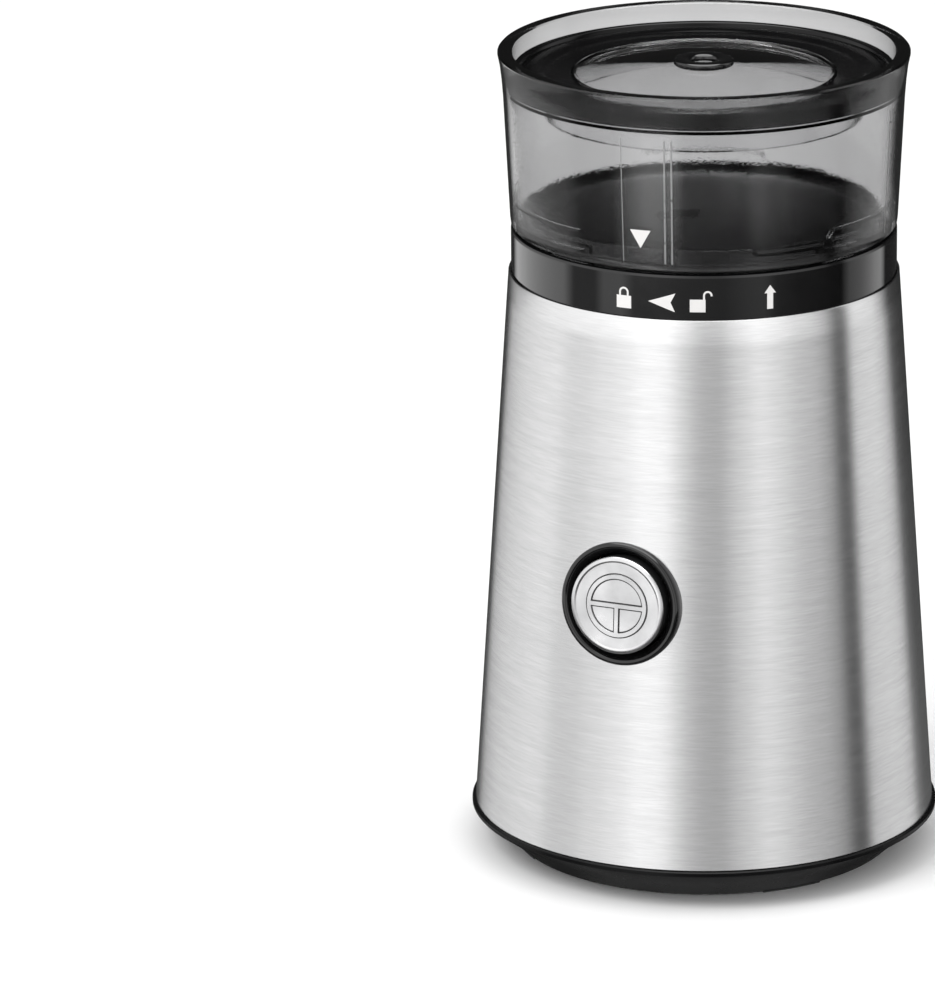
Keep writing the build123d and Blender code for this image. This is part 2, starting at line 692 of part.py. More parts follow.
with BuildPart() as main_switch:
    with BuildSketch(button_plane(switch_end)) as switch_section:
        RectangleRounded(switch_size[0], switch_size[2], 0.8)
    extrude(switch_section.sketch, amount=switch_size[1])
    with BuildSketch(button_plane(switch_start + 3.0 + button_stroke + 0.4)) as switch_slot:
        Rectangle(plunger_size[0] + 2 * running_gap, plunger_size[1] + 2 * running_gap)
    extrude(switch_slot.sketch, amount=3.0 + button_stroke + 1.4, mode=Mode.SUBTRACT)

switch_top_z = button_plane(switch_start).origin.Z + switch_size[2] / 2
switch_y = button_plane(switch_start).origin.Y
bracket_y = -end_frame_r - 1  # clear of the motor's upper end frame
with BuildPart() as switch_bracket:
    block((-9, 9), (switch_y, bracket_y), (switch_top_z, switch_top_z + 1.5))
    block((-8, 8), (bracket_y - 1.5, bracket_y), (switch_top_z, chassis_z))
    block((-8, 8), (bracket_y - 1.5, bracket_y + 6), (chassis_z - 1.5, chassis_z))

safety_size = (14.0, 6.0, 13.0)
safety_plunger_top_z = rod_bottom_z - cam_stroke * lock_turn / (lock_turn + open_turn) - 0.1
safety_top_z = safety_plunger_top_z - 1.5
with BuildPart() as safety_switch:
    with BuildSketch(Plane.XY.offset(safety_top_z - safety_size[2])) as safety_section:
        with Locations(Location(around(track_r, rod_angle), rod_angle)):
            RectangleRounded(safety_size[0], safety_size[1], 0.8)
    extrude(safety_section.sketch, amount=safety_size[2])
    rod(*around(track_r, rod_angle)[:2], 1.1, safety_top_z, safety_plunger_top_z)

with BuildPart() as safety_bracket:
    with BuildSketch(Plane.XY.offset(safety_top_z - safety_size[2])) as hanger:
        with Locations(Location(around(track_r - safety_size[1] / 2 - 0.75, rod_angle), rod_angle)):
            Rectangle(10, 1.5)
    extrude(hanger.sketch, amount=chassis_z - safety_top_z + safety_size[2])

# ---------------------------------------------------------------- cord outlet and terminals
outlet_face_y = sleeve_r(outlet_z)
with BuildPart() as cord_bush:
    for r, y_low, y_high in (
        (outlet_neck_r - 0.05, outlet_face_y - outlet_depth, outlet_face_y + 1.0),
        (outlet_flange_r, outlet_face_y + 0.6, outlet_face_y + outlet_proud),
        (outlet_flange_r - 0.8, outlet_face_y - 4.5, outlet_face_y - 2.5),
    ):
        with BuildSketch(Plane.XZ.offset(-y_high)) as bush_section:
            with Locations((0, outlet_z)):
                Circle(r)
        extrude(bush_section.sketch, amount=y_high - y_low)
    with BuildSketch(Plane.XZ.offset(-outlet_face_y - outlet_proud)) as bush_bore:
        with Locations((0, outlet_z)):
            Circle(outlet_bore_r)
    extrude(bush_bore.sketch, amount=outlet_depth + outlet_proud, mode=Mode.SUBTRACT)

with BuildPart() as cord_clamp:
    block((-9, 9), (foot_inner_r - 5, foot_inner_r - 0.5), (base_top_z, base_top_z + 7))
    block((-3.2, 3.2), (foot_inner_r - 6, foot_inner_r), (base_top_z + 2.4, base_top_z + 8), Mode.SUBTRACT)

with BuildPart() as terminal_block:
    block((-10, 10), (end_frame_r + 1.5, end_frame_r + 9.5), (base_top_z, base_top_z + 10))
    with GridLocations(6, 1, 3, 1):
        with Locations((0, end_frame_r + 5.5, base_top_z + 8)):
            Cylinder(1.6, 6, mode=Mode.SUBTRACT)

with BuildPart() as suppression_capacitor:
    block((-8.5, 8.5), (end_frame_r + 2.5, end_frame_r + 8.5), (base_top_z + 10, base_top_z + 24))
    fillet(suppression_capacitor.edges().filter_by(Axis.Z), 1.0)

# ---------------------------------------------------------------- lid
with BuildPart() as lid_shell:
    lathe(
        (lid_inner_r, lid_bottom_z), (lid_bottom_r, lid_bottom_z), (lid_shoulder_r, lid_shoulder_z),
        (lid_top_r, lid_top_z), (insert_r, lid_top_z), (insert_r, insert_under_z),
        (insert_r - 1.2, insert_under_z), (insert_r - 1.2, insert_under_z - 1.2),
        (lid_shoulder_r - lid_wall, insert_under_z - 2.2),
    )
    for radius, size in ((lid_bottom_r, 1.2), (lid_top_r, 0.6)):
        lid_edges = lid_shell.edges().filter_by(GeomType.CIRCLE)
        fillet(lid_edges.filter_by(lambda e, r=radius: abs(e.radius - r) < 0.01), size)
    for step in bayonet_steps:
        ring_block(
            neck_r + 0.7, lid_inner_r + 0.5, band_z, band_top_z, band_start + step, band_arc
        )
        ring_block(
            track_r - tab_wall / 2, track_r + tab_wall / 2, tab_bottom_z, band_top_z - 0.5,
            tab_angle + step - tab_arc / 2, tab_arc,
        )

with BuildPart() as lid_insert:
    lathe(
        (window_r, insert_under_z), (insert_r - 0.05, insert_under_z), (insert_r - 0.05, insert_top_z),
        (insert_r - 1.5, insert_top_z), (insert_r - 2.3, insert_top_z - 0.8),
        (skirt_r + 0.6, insert_top_z - 0.8), (skirt_r, insert_top_z - 1.3), (window_r, insert_top_z - 1.3),
    )

window_rim_z = insert_under_z + window_edge
land_z = window_rim_z + window_dome
window_bevel = 0.6
dome_sag = 0.6
with BuildPart() as lid_window:
    with BuildSketch(Plane.XZ) as window_outline:
        with BuildLine():
            dome_under = SagittaArc(
                (boss_r, land_z - window_thick), (skirt_r - skirt_wall, insert_under_z - window_thick), dome_sag
            )
            dome_foot = (window_r - 2 * window_bevel, window_rim_z - window_bevel / 2)
            dome_top = SagittaArc((boss_r, land_z), dome_foot, dome_sag)
            Polyline(
                dome_top @ 1, (window_r - 1.5 * window_bevel, window_rim_z),
                (window_r - window_bevel, window_rim_z),
                (window_r - 0.1, window_rim_z - window_bevel), (window_r - 0.1, insert_under_z),
                (skirt_r, insert_under_z), (skirt_r, insert_under_z - skirt_drop),
                (skirt_r - skirt_wall, insert_under_z - skirt_drop), dome_under @ 1,
            )
            Polyline(dome_under @ 0, (0, land_z - window_thick), (0, land_z), dome_top @ 0)
        make_face()
    revolve(axis=Axis.Z)

with BuildPart() as lid_boss:
    ring_block(boss_bore, boss_r, land_z, land_z + boss_height)
    fillet(lid_boss.edges().group_by(Axis.Z)[-1], 0.5)

# ---------------------------------------------------------------- write one STEP file for each piece
pieces = {
    "base": base, "feet": feet, "base_screws": base_screws, "body_shell": body_shell, "collar": collar,
    "interlock_ring": interlock_ring, "interlock_pushrod": interlock_pushrod, "chassis": chassis,
    "bowl": bowl, "bowl_gasket": bowl_gasket, "shaft_bush": shaft_bush, "shaft_seal": shaft_seal,
    "shaft": shaft, "commutator": commutator, "rotor_core": rotor_core, "rotor_windings": rotor_windings,
    "cooling_fan": cooling_fan, "blade_hub": blade_hub, "blade": blade, "blade_nut": blade_nut,
    "stator_core": stator_core, "field_coils": field_coils, "lower_end_frame": lower_end_frame,
    "upper_end_frame": upper_end_frame, "lower_bearing": lower_bearing, "upper_bearing": upper_bearing,
    "motor_mounts": motor_mounts, "mount_screws": mount_screws, "tie_bolts": tie_bolts,
    "brush_holders": brush_holders, "brushes": brushes, "brush_springs": brush_springs,
    "button_bezel": button_bezel, "bezel_nut": bezel_nut, "button_cap": button_cap,
    "button_carrier": button_carrier, "button_spring": button_spring,
    "main_switch_plunger": main_switch_plunger, "main_switch": main_switch, "switch_bracket": switch_bracket,
    "safety_switch": safety_switch, "safety_bracket": safety_bracket, "cord_bush": cord_bush,
    "cord_clamp": cord_clamp, "terminal_block": terminal_block,
    "suppression_capacitor": suppression_capacitor, "lid_shell": lid_shell, "lid_insert": lid_insert,
    "lid_window": lid_window, "lid_boss": lid_boss,
}
for label, piece in pieces.items():
    piece.part.label = label
    export_step(piece.part, f"parts/{label}.step")
print(f"button z {button_z:.2f}, lean {lean:.3f} deg, sleeve radius there {sleeve_r(button_z):.2f}")
print(f"collar top {collar_top_z:.2f}, lid top {lid_top_z:.2f}")
print(f"bowl rim {bowl_rim_z:.2f}, bowl radius {bowl_r:.2f}")
print(f"cam lead {lead:.4f} mm/rad, blade top {shaft_top_z:.2f}, outlet y {outlet_face_y:.2f}")
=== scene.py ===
"""Looks of the coffee grinder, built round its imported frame. Metres, +Z up; the start button faces -Y.

Angles round the axis are in degrees from the front, growing towards +X, as in the part's own source.
"""

import math

import bmesh
import bpy
from mathutils import Matrix, Vector


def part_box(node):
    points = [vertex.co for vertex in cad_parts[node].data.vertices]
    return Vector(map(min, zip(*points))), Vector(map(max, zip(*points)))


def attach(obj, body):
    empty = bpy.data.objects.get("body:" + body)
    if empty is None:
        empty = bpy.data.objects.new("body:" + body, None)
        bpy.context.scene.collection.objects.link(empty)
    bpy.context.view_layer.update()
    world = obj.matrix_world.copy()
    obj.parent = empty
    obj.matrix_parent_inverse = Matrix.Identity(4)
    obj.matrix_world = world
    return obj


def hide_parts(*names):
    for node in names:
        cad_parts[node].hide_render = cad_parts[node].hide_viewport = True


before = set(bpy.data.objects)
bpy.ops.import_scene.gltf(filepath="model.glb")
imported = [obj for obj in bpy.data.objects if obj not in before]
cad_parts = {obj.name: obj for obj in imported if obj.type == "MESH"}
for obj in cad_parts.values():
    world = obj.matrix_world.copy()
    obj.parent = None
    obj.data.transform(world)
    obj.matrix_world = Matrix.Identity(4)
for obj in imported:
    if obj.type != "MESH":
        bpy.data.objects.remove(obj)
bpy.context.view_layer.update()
MM = 0.001

# ---------------------------------------------------------------- sizes, from the frame where it has them
SHELL_LOW, SHELL_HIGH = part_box("body_shell")
BASE_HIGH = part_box("base")[1]
COLLAR_LOW, COLLAR_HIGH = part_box("collar")
LID_LOW, LID_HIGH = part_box("lid_shell")
INSERT_LOW, INSERT_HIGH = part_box("lid_insert")
WINDOW_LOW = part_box("lid_window")[0]
BOSS_LOW, BOSS_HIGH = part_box("lid_boss")
BOWL_LOW, BOWL_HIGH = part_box("bowl")
BEZEL_LOW, BEZEL_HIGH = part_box("button_bezel")
BUSH_LOW, BUSH_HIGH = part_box("cord_bush")

sleeve_bottom_r = 53.0 * MM
sleeve_top_r = 44.48 * MM
sleeve_bottom_z = SHELL_LOW.z
sleeve_top_z = SHELL_HIGH.z
sleeve_wall = 0.5 * MM

collar_r = 43.85 * MM
collar_top_z = sleeve_top_z + 10.3 * MM
collar_low_z = COLLAR_LOW.z
collar_inner_r = 42.35 * MM
neck_top_z = COLLAR_HIGH.z
neck_r = 39.9 * MM
neck_inner_r = 38.3 * MM
ledge_r = 36.9 * MM
ledge_z = collar_top_z + 1.5 * MM
deck_wall = 2.4 * MM
track_r = 41.125 * MM

lid_top_z = LID_HIGH.z
lid_bottom_z = collar_top_z + 0.47 * MM
lid_bottom_r = 43.9 * MM
lid_shoulder_r = 45.4 * MM
lid_top_r = 46.6 * MM
lid_wall = 1.9 * MM
lid_flare_height = 10.3 * MM
insert_r = 43.3 * MM
skirt_r = 35.5 * MM
window_r = 30.0 * MM

foot_r = 44.7 * MM
flange_r = 53.8 * MM
flange_low_z = 8.0 * MM
flange_top_z = sleeve_bottom_z

lean = math.atan2(sleeve_bottom_r - sleeve_top_r, sleeve_top_z - sleeve_bottom_z)
button_z = (BEZEL_LOW.z + BEZEL_HIGH.z) / 2
button_travel_axis = Vector((0, math.cos(lean), -math.sin(lean)))


def sleeve_r(z):
    """Outer radius of the sleeve at a height."""
    share = (z - sleeve_bottom_z) / (sleeve_top_z - sleeve_bottom_z)
    return sleeve_bottom_r + share * (sleeve_top_r - sleeve_bottom_r)


def around(radius, angle, height):
    """The point at a radius, an angle from the front and a height."""
    a = math.radians(angle)
    return Vector((radius * math.sin(a), -radius * math.cos(a), height))


# ---------------------------------------------------------------- working with operators
def box_corners(r_in, r_out, z_low, z_high):
    """Corners of a rectangular ring section."""
    return [(r_in, z_low), (r_out, z_low), (r_in, z_high), (r_out, z_high)]


def select_only(*pieces):
    """Back to object mode with just these pieces selected, the first one active."""
    if bpy.context.object and bpy.context.object.mode != "OBJECT":
        bpy.ops.object.mode_set(mode="OBJECT")
    bpy.ops.object.select_all(action="DESELECT")
    for piece in pieces:
        piece.select_set(True)
    if pieces:
        bpy.context.view_layer.objects.active = pieces[0]


def apply_place(piece):
    """Put the piece's place, turn and size into its mesh."""
    select_only(piece)
    bpy.ops.object.transform_apply(location=True, rotation=True, scale=True)


def tidy_mesh(piece):
    """Merge doubled points and turn every face outwards."""
    select_only(piece)
    bpy.ops.object.mode_set(mode="EDIT")
    bpy.ops.mesh.select_all(action="SELECT")
    bpy.ops.mesh.remove_doubles(threshold=0.000001)
    bpy.ops.mesh.normals_make_consistent(inside=False)
    bpy.ops.object.mode_set(mode="OBJECT")


def soften(piece, width, segments=3, angle=30):
    """Round the piece's edges with a bevel, and shade it smooth between them."""
    select_only(piece)
    if width:
        bevel = piece.modifiers.new("edge", "BEVEL")
        bevel.width = width
        bevel.segments = segments
        bevel.limit_method = "ANGLE"
        bevel.angle_limit = math.radians(angle)
        bevel.harden_normals = False
        bpy.ops.object.modifier_apply(modifier=bevel.name)
    bpy.ops.object.shade_smooth_by_angle(angle=math.radians(angle))


def turned(name, outline, segments=180, capped=False):
    """Turn a (radius, height) outline: a circle is extruded and scaled ring by ring, then closed.

    A capped outline starts and ends near the axis, and its two end rings are filled.
    """
    select_only()
    radius, height = outline[0]
    bpy.ops.mesh.primitive_circle_add(vertices=segments, radius=radius, location=(0, 0, height))
    piece = bpy.context.object
    piece.name = piece.data.name = name
    apply_place(piece)
    bpy.ops.object.mode_set(mode="EDIT")
    bpy.ops.mesh.select_all(action="SELECT")
    if capped:
        bpy.ops.mesh.edge_face_add()
        bpy.ops.mesh.select_all(action="SELECT")
    rings = outline[1:] if capped else outline[1:] + outline[:1]
    for next_radius, next_height in rings:
        bpy.ops.mesh.extrude_region_move(TRANSFORM_OT_translate={"value": (0, 0, next_height - height)})
        k = next_radius / radius
        bpy.ops.transform.resize(value=(k, k, 1), center_override=(0, 0, next_height))
        radius, height = next_radius, next_height
    bpy.ops.object.mode_set(mode="OBJECT")
    tidy_mesh(piece)
    return piece


def sector(name, corners, start, arc, steps=24):
    """A stretch of a ring: an upright face with four (radius, height) corners is spun round the axis.

    The corners run: inner low, outer low, inner high, outer high.
    """
    select_only()
    bpy.ops.mesh.primitive_plane_add(size=1)
    piece = bpy.context.object
    piece.name = piece.data.name = name
    for vertex, (radius, height) in zip(piece.data.vertices, corners):
        vertex.co = around(radius, start, height)
    bpy.ops.object.mode_set(mode="EDIT")
    bpy.ops.mesh.select_all(action="SELECT")
    bpy.ops.mesh.spin(steps=steps, angle=-math.radians(arc), center=(0, 0, 0), axis=(0, 0, 1))
    bpy.ops.object.mode_set(mode="OBJECT")
    tidy_mesh(piece)
    return piece


def combine(piece, other, how):
    """Join another piece to this one, or cut it away."""
    select_only(piece)
    boolean = piece.modifiers.new("join", "BOOLEAN")
    boolean.operation = how
    boolean.solver = "EXACT"
    boolean.object = other
    bpy.ops.object.modifier_apply(modifier=boolean.name)
    bpy.data.objects.remove(other)


def button_frame(depth):
    """The plane square to the button's axis, this deep behind the sleeve's face; its z points out."""
    place = Vector((0, -sleeve_r(button_z), button_z)) + button_travel_axis * depth
    return Matrix.Translation(place) @ Matrix.Rotation(math.pi / 2 - lean, 4, "X")


def set_on_button(piece, depth=0.0):
    """Move a piece made flat on the origin, facing +Z, to the button's axis."""
    piece.matrix_world = button_frame(depth)
    apply_place(piece)


def dress(piece, material, body, slot, *nodes):
    """Give a piece its finish, its body and the CAD nodes that it stands for; the slot is not used."""
    piece.data.materials.clear()
    piece.data.materials.append(material)
    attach(piece, body)
    if nodes:
        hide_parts(*nodes)


# ---------------------------------------------------------------- finishes
def blank_finish(name, colour, metallic=0.0, roughness=0.4, specular=0.5):
    """A material with its own colour and gloss, and its node tree to add detail to."""
    material = bpy.data.materials.new(name)
    material.use_nodes = True
    shader = material.node_tree.nodes["Principled BSDF"]
    shader.inputs["Base Color"].default_value = (*colour, 1)
    shader.inputs["Metallic"].default_value = metallic
    shader.inputs["Roughness"].default_value = roughness
    shader.inputs["Specular IOR Level"].default_value = specular
    return material, material.node_tree, shader


def noise(tree, scale, stretch=(1, 1, 1), detail=3.0, roughness=0.55):
    """Noise on the piece's own coordinates, stretched along its axes."""
    place = tree.nodes.new("ShaderNodeTexCoord")
    mapping = tree.nodes.new("ShaderNodeMapping")
    mapping.inputs["Scale"].default_value = stretch
    field = tree.nodes.new("ShaderNodeTexNoise")
    field.inputs["Scale"].default_value = scale
    field.inputs["Detail"].default_value = detail
    field.inputs["Roughness"].default_value = roughness
    tree.links.new(place.outputs["Object"], mapping.inputs["Vector"])
    tree.links.new(mapping.outputs["Vector"], field.inputs["Vector"])
    return field.outputs["Fac"]


def spread(tree, value, low, high, from_low=0.3, from_high=0.7):
    """Spread a value between two limits."""
    node = tree.nodes.new("ShaderNodeMapRange")
    node.inputs["From Min"].default_value = from_low
    node.inputs["From Max"].default_value = from_high
    node.inputs["To Min"].default_value = low
    node.inputs["To Max"].default_value = high
    tree.links.new(value, node.inputs["Value"])
    return node.outputs["Result"]


def tint(tree, shader, value, dark, light):
    """Colour that moves between two tones."""
    ramp = tree.nodes.new("ShaderNodeValToRGB")
    ramp.color_ramp.elements[0].position = 0.3
    ramp.color_ramp.elements[0].color = (*dark, 1)
    ramp.color_ramp.elements[1].position = 0.7
    ramp.color_ramp.elements[1].color = (*light, 1)
    tree.links.new(value, ramp.inputs["Fac"])
    tree.links.new(ramp.outputs["Color"], shader.inputs["Base Color"])


def relief(tree, shader, height, distance, strength=1.0, after=None):
    """Bump from a height, on top of an earlier bump if there is one."""
    bump = tree.nodes.new("ShaderNodeBump")
    bump.inputs["Distance"].default_value = distance
    bump.inputs["Strength"].default_value = strength
    tree.links.new(height, bump.inputs["Height"])
    if after:
        tree.links.new(after, bump.inputs["Normal"])
    tree.links.new(bump.outputs["Normal"], shader.inputs["Normal"])
    return bump.outputs["Normal"]


def brushed_round(name, tone, roughness, streak, line, depth, contrast):
    """Metal brushed round the upright axis: short level scratches over longer, softer ones."""
    material, tree, shader = blank_finish(name, (tone, tone, tone * 1.005), 1.0, roughness)
    fine = noise(tree, 1.0, (streak, streak, line), 2.0, 0.6)
    broad = noise(tree, 1.0, (streak / 6, streak / 6, line / 5), 2.0, 0.5)
    dark, light = tone * (1 - contrast), tone * (1 + contrast)
    tint(tree, shader, fine, (dark, dark, dark * 1.005), (light, light, light * 1.005))
    tree.links.new(spread(tree, broad, roughness - 0.02, roughness + 0.03), shader.inputs["Roughness"])
    relief(tree, shader, fine, depth)
    shader.inputs["Anisotropic"].default_value = 0.8
    shader.inputs["Anisotropic Rotation"].default_value = 0.25
    tangent = tree.nodes.new("ShaderNodeTangent")
    tangent.direction_type = "RADIAL"
    tangent.axis = "Z"
    tree.links.new(tangent.outputs["Tangent"], shader.inputs["Tangent"])
    return material


def gloss_black_moulding(name, roughness, specular):
    """Polished black plastic with a faint moulded ripple and dulled patches from handling."""
    material, tree, shader = blank_finish(name, (0.004, 0.004, 0.0042), 0.0, roughness, specular)
    handled = noise(tree, 90.0, detail=4.0)
    tree.links.new(spread(tree, handled, roughness * 0.7, roughness * 1.4), shader.inputs["Roughness"])
    tint(tree, shader, handled, (0.003, 0.003, 0.0032), (0.005, 0.005, 0.0052))
    relief(tree, shader, noise(tree, 200.0, detail=2.0), 0.000001)
    return material


def smoked_plastic(name, density, ripple, ripple_scale, roughness=0.02):
    """Clear plastic smoked in the mass, so that it darkens with thickness, with a rippled inner face."""
    material, tree, shader = blank_finish(name, (0.97, 0.97, 0.975), 0.0, roughness)
    shader.inputs["Transmission Weight"].default_value = 1.0
    shader.inputs["IOR"].default_value = 1.49
    cloud = noise(tree, 140.0, detail=3.0)
    tree.links.new(spread(tree, cloud, roughness * 0.6, roughness * 1.6), shader.inputs["Roughness"])
    relief(tree, shader, noise(tree, ripple_scale, detail=3.0), ripple)
    smoke = tree.nodes.new("ShaderNodeVolumeAbsorption")
    smoke.inputs["Color"].default_value = (0.0, 0.0, 0.0, 1)
    smoke.inputs["Density"].default_value = density
    tree.links.new(smoke.outputs["Volume"], tree.nodes["Material Output"].inputs["Volume"])
    return material


def painted_highlight_plastic(name, colour, roughness):
    """Clear plastic with a dulled, milky surface, pale enough to act as a painted highlight: it stands in
    for the bright glints along the lid's beads.
    """
    material, tree, shader = blank_finish(name, colour, 0.0, roughness)
    shader.inputs["Transmission Weight"].default_value = 0.45
    shader.inputs["IOR"].default_value = 1.49
    cloud = noise(tree, 900.0, detail=3.0)
    tint(tree, shader, cloud, tuple(0.8 * c for c in colour), colour)
    tree.links.new(spread(tree, cloud, roughness - 0.1, roughness + 0.1), shader.inputs["Roughness"])
    return material


def plain_moulding(name, dark, light, roughness, grain=420.0, depth=0.00001):
    """Matt plastic with spark-eroded grain and uneven colour."""
    material, tree, shader = blank_finish(name, light, 0.0, roughness)
    tint(tree, shader, noise(tree, 60.0, detail=5.0), dark, light)
    gloss = spread(tree, noise(tree, 150.0), roughness - 0.07, roughness + 0.08)
    tree.links.new(gloss, shader.inputs["Roughness"])
    relief(tree, shader, noise(tree, grain, detail=2.0), depth)
    return material


def machined_metal(name, dark, light, roughness, line=2600.0):
    """Turned or stamped metal with fine tool lines and stained patches."""
    material, tree, shader = blank_finish(name, light, 1.0, roughness)
    stain = noise(tree, 110.0, detail=5.0)
    tint(tree, shader, stain, dark, light)
    tree.links.new(spread(tree, stain, roughness + 0.08, roughness - 0.05), shader.inputs["Roughness"])
    relief(tree, shader, noise(tree, 1.0, (220, 220, line), 2.0), 0.000006)
    return material


def wound_wire(name, dark, light):
    """Enamelled copper, wound in close round turns."""
    material, tree, shader = blank_finish(name, light, 0.85, 0.3)
    place = tree.nodes.new("ShaderNodeTexCoord")
    turns = tree.nodes.new("ShaderNodeTexWave")
    turns.wave_type = "BANDS"
    turns.bands_direction = "Z"
    turns.inputs["Scale"].default_value = 420.0
    turns.inputs["Distortion"].default_value = 1.2
    turns.inputs["Detail"].default_value = 1.0
    tree.links.new(place.outputs["Object"], turns.inputs["Vector"])
    tint(tree, shader, turns.outputs["Fac"], dark, light)
    relief(tree, shader, turns.outputs["Fac"], 0.0002)
    return material


def laminations():
    """Stacked steel sheets: fine dark joints up the stack, and a rusty bloom."""
    material, tree, shader = blank_finish("laminations", (0.2, 0.2, 0.21), 0.9, 0.45)
    place = tree.nodes.new("ShaderNodeTexCoord")
    sheets = tree.nodes.new("ShaderNodeTexWave")
    sheets.bands_direction = "Z"
    sheets.inputs["Scale"].default_value = 320.0
    tree.links.new(place.outputs["Object"], sheets.inputs["Vector"])
    tint(tree, shader, noise(tree, 120.0, detail=6.0), (0.16, 0.12, 0.1), (0.3, 0.31, 0.33))
    relief(tree, shader, sheets.outputs["Fac"], 0.00008)
    return material


sleeve_steel = brushed_round("sleeve_steel", 0.64, 0.24, 190.0, 3400.0, 0.000004, 0.045)
# the bowl's steel is toned darker than the sleeve's, 0.3 against 0.64: painted shade for the dim inside of
# the enclosed bowl
bowl_steel = brushed_round("bowl_steel", 0.3, 0.2, 60.0, 1500.0, 0.000006, 0.1)
cap_steel = machined_metal("cap_steel", (0.5, 0.5, 0.505), (0.66, 0.66, 0.665), 0.3, 240.0)
gloss_black = gloss_black_moulding("gloss_black", 0.06, 0.5)
base_black = gloss_black_moulding("base_black", 0.25, 0.12)
ring_black = gloss_black_moulding("ring_black", 0.12, 0.2)
lid_smoke = smoked_plastic("lid_smoke", 160.0, 0.000013, 1300.0)
window_smoke = smoked_plastic("window_smoke", 70.0, 0.000004, 500.0, 0.01)
# pale milky plastic for the lid's beads: a painted highlight in place of the glints on their edges
bead_painted_highlight = painted_highlight_plastic("bead_painted_highlight", (0.5, 0.5, 0.505), 0.35)
mark_paint = plain_moulding("mark_paint", (0.70, 0.69, 0.68), (0.80, 0.79, 0.78), 0.45)
# one dark matt paint serves two uses: real print for the fill marks in the bowl, and painted shade for the
# thin lines round the button symbol's ridges
print_and_painted_shade = plain_moulding("print_and_painted_shade", (0.012, 0.012, 0.012), (0.02, 0.02, 0.02), 0.5)
black_moulding = plain_moulding("black_moulding", (0.018, 0.018, 0.019), (0.03, 0.03, 0.031), 0.45)
nylon = plain_moulding("nylon", (0.62, 0.6, 0.54), (0.74, 0.72, 0.67), 0.5)
phenolic = plain_moulding("phenolic", (0.06, 0.03, 0.02), (0.12, 0.06, 0.04), 0.4)
carbon = plain_moulding("carbon", (0.02, 0.02, 0.022), (0.045, 0.045, 0.05), 0.6, 800.0)
rubber = plain_moulding("rubber", (0.012, 0.012, 0.012), (0.022, 0.022, 0.022), 0.75, 700.0, 0.00003)
silicone = plain_moulding("silicone", (0.42, 0.42, 0.42), (0.52, 0.52, 0.52), 0.55)
turned_steel = machined_metal("turned_steel", (0.42, 0.42, 0.43), (0.6, 0.6, 0.61), 0.28)
spring_wire = machined_metal("spring_wire", (0.35, 0.34, 0.33), (0.52, 0.52, 0.53), 0.3)
bronze = machined_metal("bronze", (0.33, 0.2, 0.09), (0.56, 0.37, 0.18), 0.38)
copper_segments = machined_metal("copper_segments", (0.5, 0.22, 0.11), (0.8, 0.4, 0.25), 0.25)
copper_wire = wound_wire("copper_wire", (0.25, 0.07, 0.03), (0.75, 0.3, 0.14))
core_steel = laminations()

# ---------------------------------------------------------------- base and sleeve
foot_lift = 0.4 * MM
foot_inner_r = foot_r - 3.7 * MM
base_under_z = foot_lift + 2.1 * MM
base_top_z = base_under_z + 2.5 * MM
spigot_r = sleeve_r(flange_top_z + 7.0 * MM) - sleeve_wall - 0.2 * MM
spigot_top_z = BASE_HIGH.z
undercut_bulge = 0.9 * MM

base = turned("base_moulding", [
    (6.0 * MM, base_under_z), (foot_inner_r, base_under_z), (foot_inner_r + 0.2 * MM, foot_lift),
    (foot_r - 0.6 * MM, foot_lift), (foot_r, foot_lift + 0.5 * MM),
    ((foot_r + flange_r) / 2 - undercut_bulge, (foot_lift + flange_low_z) / 2),
    (flange_r - 0.35 * MM, flange_low_z - 0.25 * MM), (flange_r, flange_low_z + 0.15 * MM),
    (flange_r, flange_top_z - 0.25 * MM), (flange_r - 0.25 * MM, flange_top_z),
    (spigot_r, flange_top_z), (spigot_r, spigot_top_z), (spigot_r - 2 * MM, spigot_top_z),
    (spigot_r - 2 * MM, base_top_z + 1.5 * MM), (foot_inner_r, base_top_z), (6.0 * MM, base_top_z),
], capped=True)
AIR_SLOTS = 16
air_slot_r = 22 * MM
air_slot_size = (3 * MM, 15 * MM, 12 * MM)
for k in range(AIR_SLOTS):
    slot_angle = k * 360 / AIR_SLOTS
    select_only()
    bpy.ops.mesh.primitive_cube_add(size=1, location=around(air_slot_r, slot_angle, base_under_z))
    air_slot = bpy.context.object
    air_slot.scale = air_slot_size
    air_slot.rotation_euler = (0, 0, math.radians(slot_angle))
    apply_place(air_slot)
    soften(air_slot, 1.2 * MM, 3)
    combine(base, air_slot, "DIFFERENCE")
soften(base, 0.0)
dress(base, base_black, "housing", "gloss_black", "base")

SLEEVE_RINGS = 20
ring_heights = [
    sleeve_bottom_z + (sleeve_top_z - sleeve_bottom_z) * k / SLEEVE_RINGS for k in range(1, SLEEVE_RINGS)
]
sleeve = turned("steel_sleeve", [
    (sleeve_bottom_r - sleeve_wall, sleeve_bottom_z), (sleeve_bottom_r - 0.15 * MM, sleeve_bottom_z),
    (sleeve_bottom_r, sleeve_bottom_z + 0.2 * MM),
] + [(sleeve_r(z), z) for z in ring_heights] + [
    (sleeve_top_r, sleeve_top_z - 0.2 * MM), (sleeve_top_r - 0.15 * MM, sleeve_top_z),
    (sleeve_top_r - sleeve_wall, sleeve_top_z),
] + [(sleeve_r(z) - sleeve_wall, z) for z in ring_heights[::-1]], 256)
bezel_hole_r = 13.2 * MM
bezel_hole_depth = 24 * MM
select_only()
bpy.ops.mesh.primitive_cylinder_add(vertices=96, radius=bezel_hole_r, depth=bezel_hole_depth)
bezel_hole = bpy.context.object
set_on_button(bezel_hole)
combine(sleeve, bezel_hole, "DIFFERENCE")
outlet_hole_r = 5.0 * MM
outlet_depth = 12 * MM
select_only()
